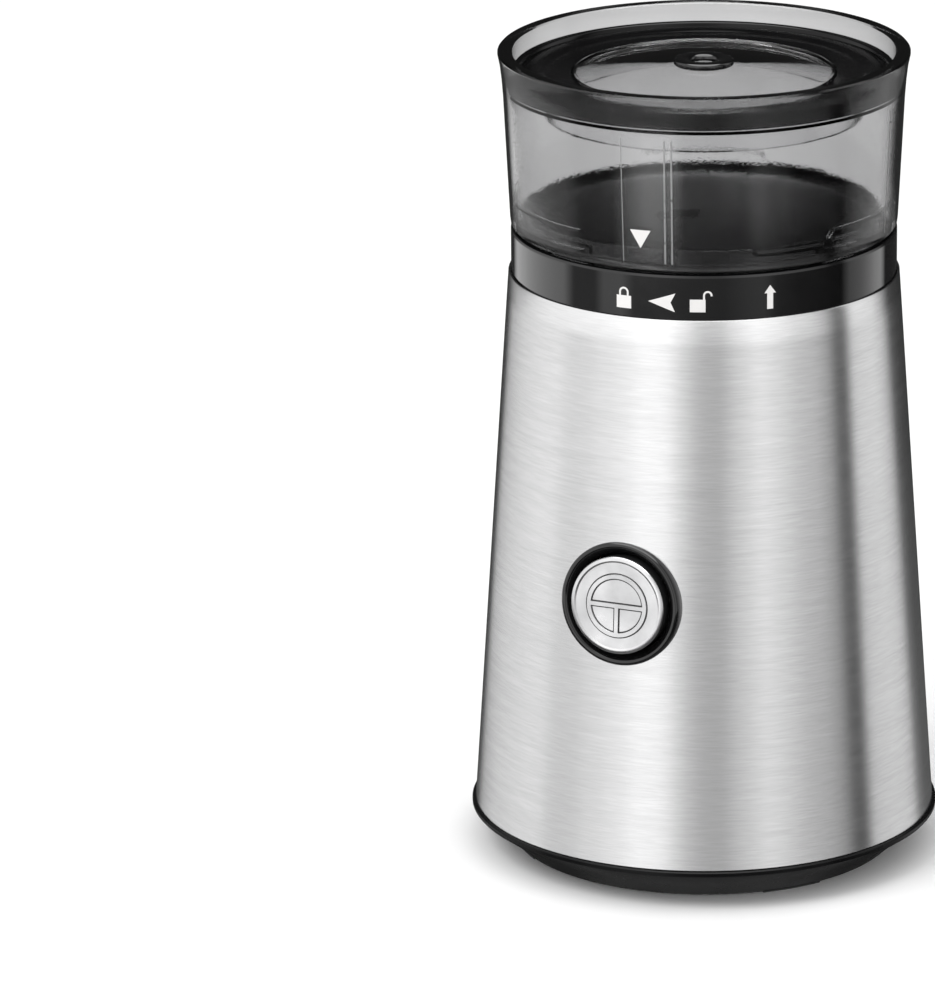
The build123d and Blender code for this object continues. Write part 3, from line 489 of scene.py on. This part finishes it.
bpy.ops.mesh.primitive_cylinder_add(
    vertices=64, radius=outlet_hole_r, depth=outlet_depth, rotation=(math.pi / 2, 0, 0),
    location=(0, BUSH_HIGH.y - outlet_depth / 2, (BUSH_LOW.z + BUSH_HIGH.z) / 2)
)
outlet_hole = bpy.context.object
apply_place(outlet_hole)
combine(sleeve, outlet_hole, "DIFFERENCE")
soften(sleeve, 0.0, angle=40)
dress(sleeve, sleeve_steel, "housing", "brushed_steel_sleeve", "body_shell")

# ---------------------------------------------------------------- collar with neck, lugs and tab slots
collar = turned("collar_moulding", [
    (ledge_r, collar_low_z + 3.5 * MM), (neck_r, collar_low_z + 3.5 * MM),
    (neck_r, collar_top_z - deck_wall),
    (collar_inner_r, collar_top_z - deck_wall), (collar_inner_r, collar_low_z),
    (collar_r - 0.25 * MM, collar_low_z), (collar_r - 0.25 * MM, sleeve_top_z + 0.05 * MM),
    (collar_r, sleeve_top_z + 0.1 * MM), (collar_r, sleeve_top_z + 0.3 * MM),
    (collar_r, collar_top_z - 0.7 * MM), (collar_r, collar_top_z - 0.5 * MM),
    (collar_r - 0.15 * MM, collar_top_z - 0.15 * MM), (collar_r - 0.5 * MM, collar_top_z),
    (neck_r, collar_top_z), (neck_r, neck_top_z - 0.2 * MM), (neck_r - 0.2 * MM, neck_top_z),
    (neck_inner_r + 0.2 * MM, neck_top_z), (neck_inner_r, neck_top_z - 0.2 * MM), (neck_inner_r, ledge_z),
    (ledge_r, ledge_z),
], 216)
thirds = (0, 120, 240)
lug_height = 1.6 * MM
lug_start, lug_arc = 38.5, 23.5
slot_start, slot_arc = 71.6, 53.5
half_slot = 0.85 * MM
lug_section = box_corners(neck_r - 0.4 * MM, neck_r + 1.5 * MM, neck_top_z - lug_height, neck_top_z)
slot_section = box_corners(
    track_r - half_slot, track_r + half_slot, collar_top_z - 4 * MM, collar_top_z + 1 * MM
)
for third in thirds:
    lug = sector("lug", lug_section, lug_start + third, lug_arc)
    soften(lug, 0.25 * MM, 2)
    combine(collar, lug, "UNION")
    tab_slot = sector("slot", slot_section, slot_start + third, slot_arc)
    combine(collar, tab_slot, "DIFFERENCE")
soften(collar, 0.0)
dress(collar, gloss_black, "housing", "gloss_black", "collar")

# ---------------------------------------------------------------- lid
shoulder_z = lid_top_z - lid_flare_height
lid_inner_r = lid_bottom_r - lid_wall
ledge_under_z = INSERT_LOW.z
lid = turned("lid_wall", [
    (lid_inner_r, lid_bottom_z + 0.3 * MM), (lid_inner_r + 0.4 * MM, lid_bottom_z),
    (lid_bottom_r - 0.9 * MM, lid_bottom_z), (lid_bottom_r - 0.35 * MM, lid_bottom_z + 0.2 * MM),
    (lid_bottom_r - 0.05 * MM, lid_bottom_z + 0.8 * MM), (lid_bottom_r + 0.1 * MM, lid_bottom_z + 2.0 * MM),
    (lid_bottom_r + 0.75 * MM, (lid_bottom_z + shoulder_z) / 2), (lid_shoulder_r, shoulder_z),
    (lid_shoulder_r + 0.3 * MM, shoulder_z + 3.8 * MM), (lid_shoulder_r + 0.7 * MM, shoulder_z + 7.2 * MM),
    (lid_top_r, lid_top_z - 0.7 * MM), (lid_top_r, lid_top_z - 0.35 * MM), (lid_top_r - 0.3 * MM, lid_top_z),
    (insert_r + 0.3 * MM, lid_top_z), (insert_r, lid_top_z - 0.3 * MM), (insert_r, ledge_under_z),
    (insert_r - 1.0 * MM, ledge_under_z), (insert_r - 1.0 * MM, ledge_under_z - 0.4 * MM),
    (lid_shoulder_r - lid_wall, ledge_under_z - 1.0 * MM),
    ((lid_inner_r + lid_shoulder_r - lid_wall) / 2, (lid_bottom_z + shoulder_z) / 2),
], 256)
band_top_z = neck_top_z - lug_height - 0.3 * MM
band_height = 1.8 * MM
band_start, band_arc = 62.5, 40
tab_start, tab_arc = 78, 8
half_tab = 0.55 * MM
guide_start, guide_arc = 64.2, 38
guide_top_z = collar_top_z + 7.6 * MM
guide_height = 0.5 * MM
guide_in_r, guide_out_r = lid_inner_r - 0.5 * MM, lid_inner_r + 0.6 * MM
band_section = box_corners(neck_r + 0.7 * MM, guide_out_r, band_top_z - band_height, band_top_z)
tab_section = box_corners(track_r - half_tab, track_r + half_tab, LID_LOW.z, band_top_z - 0.5 * MM)
guide_section = box_corners(guide_in_r, guide_out_r, guide_top_z - guide_height, guide_top_z)
for third in thirds:
    combine(lid, sector("band", band_section, band_start + third, band_arc), "UNION")
    combine(lid, sector("tab", tab_section, tab_start + third, tab_arc, 6), "UNION")
    combine(lid, sector("guide_edge", guide_section, guide_start + third, guide_arc), "UNION")
    for drop in range(4):
        low_z = guide_top_z - guide_height - 0.35 * MM * (drop + 1)
        step_section = box_corners(guide_in_r, guide_out_r, low_z, low_z + guide_height)
        step_start = guide_start - 0.4 * (drop + 1) + third
        combine(lid, sector("guide_lead", step_section, step_start, 0.55, 2), "UNION")


def upright_bead(start, arc, proud):
    """A bead up the outside of the lid's wall, from its lip to the black ring."""
    low_z, high_z = lid_bottom_z + 2.0 * MM, shoulder_z + 0.5 * MM
    low_r, high_r = lid_bottom_r + 0.05 * MM, lid_shoulder_r + 0.15 * MM
    bead = sector("bead", [
        (low_r - 0.1 * MM, low_z), (low_r + proud, low_z),
        (high_r - 0.1 * MM, high_z), (high_r + proud, high_z),
    ], start, arc, 2)
    soften(bead, 0.12 * MM, 2)
    return bead


soften(lid, 0.0)
dress(lid, lid_smoke, "lid", "smoky_clear", "lid_shell")
# start and width in degrees, height in mm: a pair beside the triangle, and two fainter ones
bead_places = ((11.1, 0.5, 0.2), (13.1, 0.5, 0.2), (-1.5, 0.28, 0.1), (89.4, 0.28, 0.1))
# the beads are dressed in the pale plastic, a painted highlight for their bright edges
for k, (start, arc, proud) in enumerate(bead_places):
    bead = upright_bead(start, arc, proud * MM)
    bead.name = bead.data.name = f"lid_bead_{k + 1}"
    dress(bead, bead_painted_highlight, "lid", "clear_plastic")

ring_top_z = INSERT_HIGH.z
black_ring = turned("lid_black_ring", [
    (window_r, ledge_under_z), (insert_r - 0.05 * MM, ledge_under_z),
    (insert_r - 0.05 * MM, ring_top_z - 0.3 * MM), (insert_r - 0.3 * MM, ring_top_z),
    (insert_r - 1.4 * MM, ring_top_z), (insert_r - 1.7 * MM, ring_top_z - 0.3 * MM),
    (insert_r - 1.9 * MM, ring_top_z - 1.1 * MM), (insert_r - 2.6 * MM, ring_top_z - 1.2 * MM),
    (insert_r - 2.9 * MM, ring_top_z - 0.7 * MM), (insert_r - 3.4 * MM, ring_top_z - 0.6 * MM),
    (skirt_r + 1.2 * MM, ring_top_z - 0.6 * MM), (skirt_r + 0.8 * MM, ring_top_z - 0.9 * MM),
    (skirt_r - 0.4 * MM, ring_top_z - 1.0 * MM), (window_r + 0.4 * MM, ring_top_z - 1.0 * MM),
    (window_r, ring_top_z - 1.3 * MM),
], 220)
soften(black_ring, 0.0, angle=50)
dress(black_ring, ring_black, "lid", "gloss_black", "lid_insert")

land_z = BOSS_LOW.z
boss_r = 6.75 * MM
window_rim_z = ledge_under_z + 2.6 * MM
window_thick = 1.8 * MM
skirt_inner_r = skirt_r - 1.2 * MM


def bow(start, end, rise, steps=10):
    """Points of a shallow bow between two points of an outline, both ends included."""
    points = []
    for k in range(steps + 1):
        t = k / steps
        radius = start[0] + (end[0] - start[0]) * t
        points.append((radius, start[1] + (end[1] - start[1]) * t + 4 * rise * t * (1 - t)))
    return points


dome_sag = 0.6 * MM
dome_under = bow((boss_r, land_z - window_thick), (skirt_inner_r, ledge_under_z - window_thick), dome_sag)
dome_top = bow((boss_r, land_z), (window_r - 1.2 * MM, window_rim_z - 0.3 * MM), dome_sag)
window = turned("lid_window_pane", [(2.0 * MM, land_z - window_thick)] + dome_under + [
    (skirt_inner_r, WINDOW_LOW.z + 0.2 * MM), (skirt_inner_r + 0.2 * MM, WINDOW_LOW.z),
    (skirt_r - 0.2 * MM, WINDOW_LOW.z), (skirt_r, WINDOW_LOW.z + 0.2 * MM),
    (skirt_r, ledge_under_z - 0.02 * MM),
    (window_r - 0.1 * MM, ledge_under_z - 0.02 * MM), (window_r - 0.1 * MM, window_rim_z - 0.6 * MM),
    (window_r - 0.5 * MM, window_rim_z), (window_r - 0.9 * MM, window_rim_z),
] + dome_top[::-1] + [(2.0 * MM, land_z)], 220, capped=True)
soften(window, 0.0)
dress(window, window_smoke, "lid", "clear_plastic", "lid_window")

boss = turned("lid_boss_ring", [
    (3.0 * MM, BOSS_LOW.z), (6.6 * MM, BOSS_LOW.z), (boss_r, BOSS_LOW.z + 0.2 * MM),
    (boss_r, BOSS_HIGH.z - 0.6 * MM), (6.5 * MM, BOSS_HIGH.z - 0.15 * MM), (6.0 * MM, BOSS_HIGH.z),
    (4.0 * MM, BOSS_HIGH.z), (3.3 * MM, BOSS_HIGH.z - 0.3 * MM), (3.0 * MM, BOSS_HIGH.z - 0.8 * MM),
], 96)
soften(boss, 0.0, angle=60)
dress(boss, gloss_black, "lid", "gloss_black", "lid_boss")

# ---------------------------------------------------------------- bowl
bowl_rim_z = BOWL_HIGH.z
bowl_under_z = BOWL_LOW.z
bowl_r = 36.0 * MM
bowl_wall = 0.6 * MM
corner = 9.0 * MM


def bowl_corner(radius_at_wall, floor_z, size):
    """Points of the rounded corner between the bowl's floor and its wall, floor first."""
    steps = [math.radians(90 * k / 8) for k in range(9)]
    return [
        (radius_at_wall - size + size * math.sin(a), floor_z + size - size * math.cos(a)) for a in steps
    ]


inner_wall = bowl_corner(bowl_r, bowl_under_z + bowl_wall, corner - bowl_wall)
outer_wall = bowl_corner(bowl_r + bowl_wall, bowl_under_z, corner)
outer_r = bowl_r + bowl_wall
lip_low_z = bowl_rim_z - bowl_wall
shaft_hole_r = 6.5 * MM
bowl_rim = [
    (outer_r, lip_low_z - 0.3 * MM), (outer_r + 0.3 * MM, lip_low_z), (outer_r + 1.4 * MM, lip_low_z),
    (outer_r + 1.5 * MM, bowl_rim_z - 0.3 * MM), (outer_r + 1.4 * MM, bowl_rim_z),
    (bowl_r + 0.5 * MM, bowl_rim_z), (bowl_r + 0.1 * MM, bowl_rim_z - 0.2 * MM),
    (bowl_r, bowl_rim_z - 0.6 * MM),
]
bowl_outline = (
    [(shaft_hole_r, bowl_under_z)] + outer_wall + bowl_rim + inner_wall[::-1]
    + [(shaft_hole_r, bowl_under_z + bowl_wall)]
)
bowl = turned("grinding_bowl", bowl_outline, 192)
soften(bowl, 0.0, angle=45)
dress(bowl, bowl_steel, "housing", "bowl_steel", "bowl")

# ---------------------------------------------------------------- start button
# heights here are from the sleeve's face, out along the button's axis
bezel_r = 14.2 * MM
well_r = 11.5 * MM
bezel = turned("button_surround", [
    (well_r, -8.6 * MM), (well_r + 1.5 * MM, -8.6 * MM), (well_r + 1.5 * MM, -2.6 * MM),
    (bezel_r - 0.1 * MM, -2.6 * MM), (bezel_r, -2.4 * MM), (bezel_r, 0.25 * MM),
    (bezel_r - 0.15 * MM, 0.7 * MM), (bezel_r - 0.5 * MM, 0.97 * MM), (bezel_r - 0.9 * MM, 0.98 * MM),
    (bezel_r - 1.3 * MM, 0.8 * MM), (well_r + 0.5 * MM, -0.4 * MM),
    (well_r + 0.1 * MM, -0.8 * MM), (well_r, -1.2 * MM),
], 128)
set_on_button(bezel)
tidy_mesh(bezel)
soften(bezel, 0.0, angle=50)
dress(bezel, gloss_black, "housing", "gloss_black", "button_bezel")

cap_r = 11.2 * MM
cap_face = 2.4 * MM
symbol_r = 6.75 * MM
ridge = 1.1 * MM
ridge_draft = 0.1 * MM
ridge_top = cap_face - 0.02 * MM
cap = turned("button_face", [
    (2.0 * MM, cap_face - 1.0 * MM), (cap_r - 0.1 * MM, cap_face - 1.0 * MM), (cap_r, cap_face - 0.85 * MM),
    (cap_r, cap_face - 0.55 * MM), (cap_r - 0.15 * MM, cap_face - 0.3 * MM),
    (cap_r - 0.5 * MM, cap_face - 0.12 * MM), (cap_r - 0.85 * MM, cap_face - 0.1 * MM),
    (cap_r - 1.25 * MM, cap_face - 0.3 * MM),
    (symbol_r + ridge / 2, cap_face - 0.3 * MM), (symbol_r + ridge / 2 - ridge_draft, ridge_top),
    (symbol_r - ridge / 2 + ridge_draft, ridge_top), (symbol_r - ridge / 2, cap_face - 0.3 * MM),
    (2.0 * MM, cap_face - 0.3 * MM),
], 128, capped=True)
shade_line_width = 0.22 * MM


def symbol_strip(width, height, centre, low, high, draft):
    """One straight stroke of the start symbol, narrowed towards its top by the draft."""
    select_only()
    bpy.ops.mesh.primitive_cube_add(size=1, location=(*centre, (low + high) / 2))
    strip = bpy.context.object
    strip.scale = (width, height, high - low)
    apply_place(strip)
    bpy.ops.object.mode_set(mode="EDIT")
    bpy.ops.mesh.select_mode(type="FACE")
    bpy.ops.mesh.select_all(action="DESELECT")
    bpy.ops.object.mode_set(mode="OBJECT")
    top = max(strip.data.polygons, key=lambda face: face.center.z)
    top.select = True
    bpy.ops.object.mode_set(mode="EDIT")
    bpy.ops.transform.resize(value=(1 - 2 * draft / width, 1 - 2 * draft / height, 1))
    bpy.ops.mesh.select_mode(type="VERT")
    bpy.ops.object.mode_set(mode="OBJECT")
    return strip


def symbol_bars(wider, low, high, draft):
    """The bar and the stem of the start symbol, each this much wider on both sides than the ridge."""
    stroke = ridge + 2 * wider
    bar = symbol_strip(2 * symbol_r - ridge / 2, stroke, (0, 0), low, high, draft)
    stem = symbol_strip(stroke, symbol_r - ridge / 2, (0, -symbol_r / 2), low, high, draft)
    return bar, stem


for strip in symbol_bars(0.0, cap_face - 0.6 * MM, ridge_top, ridge_draft):
    combine(cap, strip, "UNION")
# thin dark sheets round the foot of the symbol's ridges, just proud of the face: painted shade in place of
# the shaded grooves that bound the raised strokes
outline_low, outline_high = cap_face - 0.4 * MM, cap_face - 0.27 * MM
outline_r = ridge / 2 + shade_line_width
ring_shade_line = turned("button_ring_outline", [
    (symbol_r - outline_r, outline_low), (symbol_r + outline_r, outline_low),
    (symbol_r + outline_r, outline_high), (symbol_r - outline_r, outline_high),
], 96)
bar_shade_line, stem_shade_line = symbol_bars(shade_line_width, outline_low, outline_high, 0.0)
combine(bar_shade_line, stem_shade_line, "UNION")
bar_shade_line.name = bar_shade_line.data.name = "button_bar_outline"
for shade_line_piece in (ring_shade_line, bar_shade_line):
    set_on_button(shade_line_piece)
    tidy_mesh(shade_line_piece)
    dress(shade_line_piece, print_and_painted_shade, "start_button", "matte_black")
set_on_button(cap)
tidy_mesh(cap)
soften(cap, 0.0, angle=25)
dress(cap, cap_steel, "start_button", "brushed_steel_sleeve", "button_cap")


# ---------------------------------------------------------------- printed marks
def wrapped_mark(name, outlines, radius, angle, height, draft=0.0, inside=False):
    """Flat closed outlines in mm, across and up, laid on a round wall as a film of paint."""
    cut_every = 0.6 * MM
    film = (-0.04 if inside else 0.04) * MM
    net = bmesh.new()
    for outline in outlines:
        net.faces.new([net.verts.new((x * MM, 0, z * MM)) for x, z in outline])
    half = max(abs(x) for outline in outlines for x, z in outline) * MM
    cuts = int(2 * half / cut_every)
    for k in range(1, cuts):
        place = Vector((-half + 2 * half * k / cuts, 0, 0))
        geometry = net.verts[:] + net.edges[:] + net.faces[:]
        bmesh.ops.bisect_plane(net, geom=geometry, plane_co=place, plane_no=(1, 0, 0))
    bmesh.ops.remove_doubles(net, verts=net.verts, dist=0.000002)
    lifted = bmesh.ops.extrude_face_region(net, geom=net.faces[:])
    upper = {v for v in lifted["geom"] if isinstance(v, bmesh.types.BMVert)}
    for vertex in net.verts:
        wall_r = radius + draft * vertex.co.z + (film if vertex in upper else -0.3 * film)
        turn = math.degrees(vertex.co.x / radius)
        vertex.co = around(wall_r, angle - turn if inside else angle + turn, height + vertex.co.z)
    mesh = bpy.data.meshes.new(name)
    bmesh.ops.recalc_face_normals(net, faces=net.faces)
    net.to_mesh(mesh)
    net.free()
    mark = bpy.data.objects.new(name, mesh)
    bpy.context.scene.collection.objects.link(mark)
    return mark


def shackle(centre_x, spring_z, radius, thick, left_leg, right_leg):
    """A padlock's shackle as one closed outline: two legs and the bow between them."""
    hollow = radius - thick
    turns = [math.radians(180 * k / 10) for k in range(11)]
    outer = [(centre_x + radius * math.cos(a), spring_z + radius * math.sin(a)) for a in turns]
    inner = [(centre_x + hollow * math.cos(a), spring_z + hollow * math.sin(a)) for a in turns[::-1]]
    left = [(centre_x - radius, spring_z - left_leg), (centre_x - hollow, spring_z - left_leg)]
    right = [(centre_x + radius, spring_z - right_leg), (centre_x + hollow, spring_z - right_leg)]
    return right[:1] + outer + left + inner + right[1:]


mark_z = sleeve_top_z + 3.9 * MM
lock_body = [(-1.75, -2.0), (1.75, -2.0), (1.75, 0.9), (-1.75, 0.9)]
# (angle, outlines in mm) of the marks on the collar
marks = {
    "mark_locked": (-1.4, [lock_body, shackle(0, 1.7, 1.15, 0.42, 0.9, 0.9)]),
    "mark_unlocked": (20.7, [lock_body, shackle(2.25, 1.85, 1.05, 0.42, 1.0, 0.15)]),
    "mark_turn": (10.3, [[(-3.2, 0.15), (3.0, 2.2), (1.9, 0.05)], [(-3.2, 0.15), (1.9, 0.05), (2.9, -2.1)]]),
    "mark_lift": (42.1, [
        [(-0.7, -1.9), (0.7, -1.9), (0.7, 1.75), (-0.7, 1.75)], [(-1.35, 1.75), (1.35, 1.75), (0, 3.6)],
    ]),
}
for name, (angle, outlines) in marks.items():
    mark = wrapped_mark(name, outlines, collar_r, angle, mark_z)
    dress(mark, mark_paint, "housing", "nylon_white")

pointer_z = collar_top_z + 8.0 * MM
lid_draft = 0.045
pointer_r = lid_bottom_r + 0.1 * MM + lid_draft * (pointer_z - lid_bottom_z - 2 * MM)
pointer_outline = [(-2.4, 2.05), (0, -2.15), (2.4, 2.05)]
pointer_angle = 4.0
pointer = wrapped_mark(
    "mark_pointer", [pointer_outline], pointer_r + 0.03 * MM, pointer_angle, pointer_z, lid_draft
)
dress(pointer, mark_paint, "lid", "nylon_white")

fill_angle = 212.3
fill_bar_z = bowl_rim_z - 10 * MM
fill_arrow_z = bowl_rim_z - 15 * MM
bar_outlines = [[(-5, -0.7), (5, -0.7), (5, 0.7), (-5, 0.7)]]
arrow_outlines = [
    [(-0.7, 3), (-0.7, -0.6), (0.7, -0.6), (0.7, 3)], [(-1.6, -0.6), (0, -3.2), (1.6, -0.6)],
]
fill_bar = wrapped_mark("mark_fill_level", bar_outlines, bowl_r, fill_angle, fill_bar_z, inside=True)
fill_arrow = wrapped_mark("mark_fill_arrow", arrow_outlines, bowl_r, fill_angle, fill_arrow_z, inside=True)
dress(fill_bar, print_and_painted_shade, "housing", "matte_black")
dress(fill_arrow, print_and_painted_shade, "housing", "matte_black")

# ---------------------------------------------------------------- CAD nodes that stay, in their finishes
kept_finishes = {
    "feet": rubber, "base_screws": turned_steel, "interlock_ring": nylon, "interlock_pushrod": nylon,
    "chassis": black_moulding, "bowl_gasket": silicone, "shaft_bush": bronze, "shaft_seal": silicone,
    "shaft": turned_steel, "commutator": copper_segments, "rotor_core": core_steel,
    "rotor_windings": copper_wire, "cooling_fan": black_moulding, "blade_hub": turned_steel,
    "blade": turned_steel, "blade_nut": turned_steel, "stator_core": core_steel,
    "field_coils": copper_wire, "lower_end_frame": turned_steel, "upper_end_frame": turned_steel,
    "lower_bearing": bronze, "upper_bearing": bronze, "motor_mounts": rubber,
    "mount_screws": turned_steel, "tie_bolts": turned_steel, "brush_holders": phenolic,
    "brushes": carbon, "brush_springs": spring_wire, "bezel_nut": black_moulding,
    "button_carrier": black_moulding, "button_spring": spring_wire, "main_switch_plunger": nylon,
    "main_switch": phenolic, "switch_bracket": turned_steel, "safety_switch": phenolic,
    "safety_bracket": turned_steel, "cord_bush": rubber, "cord_clamp": black_moulding,
    "terminal_block": nylon, "suppression_capacitor": black_moulding,
}
for node, material in kept_finishes.items():
    for material_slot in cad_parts[node].material_slots:
        material_slot.material = material

# ---------------------------------------------------------------- floor
select_only()
bpy.ops.mesh.primitive_plane_add(size=12, location=(0, 0, 0))
floor = bpy.context.object
floor.name = "studio_floor"
floor_finish, floor_tree, floor_shader = blank_finish("studio_paper", (0.93, 0.93, 0.93), 0.0, 0.9, 0.2)
relief(floor_tree, floor_shader, noise(floor_tree, 300.0), 0.00002)
floor.data.materials.append(floor_finish)
floor.visible_glossy = False
floor.visible_transmission = False

# ---------------------------------------------------------------- studio: bands of light round the horizon
CAMERA_AZIMUTH = 22.5
# (degrees to the right of the camera's side, brightness) at the heights of the sky that each wall reflects
sleeve_bands = [
    (-180, 0.03), (-156, 0.05), (-148, 0.22), (-138, 0.6), (-122, 1.0), (-101, 1.3), (-71, 1.45), (-46, 1.6),
    (-35, 1.8), (-22, 1.75), (-12, 1.35), (-2, 0.9), (9, 0.82), (17, 1.2), (31, 1.6), (44, 1.4), (54, 1.15),
    (66, 1.0), (75, 0.7), (81, 0.2), (88, 0.14), (94, 1.2), (112, 1.1), (122, 0.7), (131, 0.06), (160, 0.02),
    (180, 0.03),
]
collar_bands = [
    (-180, 0.03), (-158, 0.05), (-148, 1.4), (-134, 1.7), (-118, 1.8), (-92, 1.8), (-84, 0.35), (-68, 0.4),
    (-62, 1.3), (-50, 1.4), (-42, 0.5), (-10, 0.4), (12, 0.35), (26, 0.6), (36, 0.65), (44, 0.25),
    (60, 0.12), (90, 0.03), (97, 0.8), (108, 1.0), (123, 1.6), (131, 1.5), (138, 0.05), (180, 0.03),
]
lid_bands = [
    (-180, 0.05), (-160, 0.1), (-134, 0.5), (-105, 0.6), (-90, 0.5), (-78, 0.1), (-56, 0.1), (-44, 1.0),
    (-34, 1.8), (-20, 1.6), (-12, 0.25), (24, 0.05), (34, 0.4), (44, 0.25), (56, 0.03), (90, 0.02),
    (104, 0.5), (130, 0.8), (150, 0.2), (180, 0.05),
]
behind_bands = [(-180, 1), (-140, 1), (-115, 0), (115, 0), (140, 1), (180, 1)]
world = bpy.data.worlds.new("studio")
bpy.context.scene.world = world
world.use_nodes = True
sky = world.node_tree
sky.nodes.clear()


def sky_math(how, first, second=None):
    """One arithmetic step on the world's values."""
    node = sky.nodes.new("ShaderNodeMath")
    node.operation = how
    for socket, value in zip(node.inputs, (first, second)):
        if value is None:
            continue
        if isinstance(value, (int, float)):
            socket.default_value = value
        else:
            sky.links.new(value, socket)
    return node.outputs[0]


direction = sky.nodes.new("ShaderNodeTexCoord")
parts = sky.nodes.new("ShaderNodeSeparateXYZ")
sky.links.new(direction.outputs["Generated"], parts.inputs[0])
bearing = sky_math("ARCTAN2", parts.outputs["X"], sky_math("MULTIPLY", parts.outputs["Y"], -1.0))
turn = sky_math("SUBTRACT", bearing, math.radians(CAMERA_AZIMUTH))
share = sky_math("FRACT", sky_math("ADD", sky_math("DIVIDE", turn, 2 * math.pi), 1.5))


def band_ramp(stops):
    """Brightness round the horizon from (bearing, level) stops."""
    ramp = sky.nodes.new("ShaderNodeValToRGB")
    ramp.color_ramp.elements.remove(ramp.color_ramp.elements[-1])
    for k, (degrees_right, level) in enumerate(stops):
        place = (degrees_right + 180) / 360
        stop = ramp.color_ramp.elements.new(place) if k else ramp.color_ramp.elements[0]
        stop.position = place
        stop.color = (level, level, level, 1)
    sky.links.new(share, ramp.inputs["Fac"])
    return ramp.outputs["Color"]


def sky_blend(amount, first, second):
    """Move from one brightness to another; a number stands for a plain grey."""
    node = sky.nodes.new("ShaderNodeMix")
    node.data_type = "RGBA"
    sky.links.new(amount, node.inputs["Factor"])
    for socket, value in (("A", first), ("B", second)):
        if isinstance(value, (int, float)):
            node.inputs[socket].default_value = (value, value, value, 1)
        else:
            sky.links.new(value, node.inputs[socket])
    return node.outputs["Result"]


def rise(low, high):
    """Share of the way from one height of the sky to another."""
    node = sky.nodes.new("ShaderNodeMapRange")
    node.inputs["From Min"].default_value = low
    node.inputs["From Max"].default_value = high
    sky.links.new(parts.outputs["Z"], node.inputs["Value"])
    return node.outputs["Result"]


# from straight below to straight above
under_sky = sky_blend(rise(-0.78, -0.66), 0.25, 0.04)
deep_sky = sky_blend(rise(-0.43, -0.385), under_sky, band_ramp(lid_bands))
collar_sky = sky_blend(rise(-0.295, -0.285), deep_sky, band_ramp(collar_bands))
low_sky = sky_blend(rise(-0.258, -0.248), collar_sky, band_ramp(sleeve_bands))
behind = band_ramp(behind_bands)
dim_sky = sky_blend(sky_math("MULTIPLY", rise(-0.02, 0.10), behind), low_sky, 0.03)
soft_box = sky_blend(rise(0.80, 0.88), dim_sky, 5.0)
path = sky.nodes.new("ShaderNodeLightPath")
reflected = sky_math("GREATER_THAN", path.outputs["Glossy Depth"], 0.5)
WHITE = 1.0
backdrop = sky_blend(reflected, WHITE, soft_box)
glow = sky.nodes.new("ShaderNodeBackground")
sky.links.new(backdrop, glow.inputs["Color"])
glow.inputs["Strength"].default_value = 1.0
sky_output = sky.nodes.new("ShaderNodeOutputWorld")
sky.links.new(glow.outputs["Background"], sky_output.inputs["Surface"])

key_light = bpy.data.lights.new("key_light", "AREA")
key_light.shape = "DISK"
key_light.size = 0.9
key_light.energy = 9.0
key = bpy.data.objects.new("key_light", key_light)
key_distance, key_bearing, key_height = 1.0, CAMERA_AZIMUTH - 60, 1.25
key_target = Vector((0, 0, 0.08))
key.location = around(key_distance, key_bearing, key_height)
key.rotation_euler = (key_target - key.location).to_track_quat("-Z", "Y").to_euler()
key.visible_camera = False
key.visible_glossy = False
bpy.context.scene.collection.objects.link(key)

# ---------------------------------------------------------------- camera
camera_data = bpy.data.cameras.new("camera")
camera_data.sensor_width = 36.0
camera_data.sensor_fit = "AUTO"
camera_data.lens = 270.68
camera_data.clip_start = 0.1
camera = bpy.data.objects.new("camera", camera_data)
camera_distance, camera_height = 1.648, 0.601
camera_turn, camera_dip, camera_roll = 24.388, 17.520, -0.563
stand = around(camera_distance, CAMERA_AZIMUTH, camera_height)
aim = (
    Matrix.Rotation(math.radians(camera_turn), 4, "Z")
    @ Matrix.Rotation(math.radians(90 - camera_dip), 4, "X")
    @ Matrix.Rotation(math.radians(camera_roll), 4, "Z")
)
camera.matrix_world = Matrix.Translation(stand) @ aim
bpy.context.scene.collection.objects.link(camera)
bpy.context.scene.camera = camera
bpy.context.scene.view_settings.view_transform = "Standard"

select_only()
bpy.context.view_layer.update()
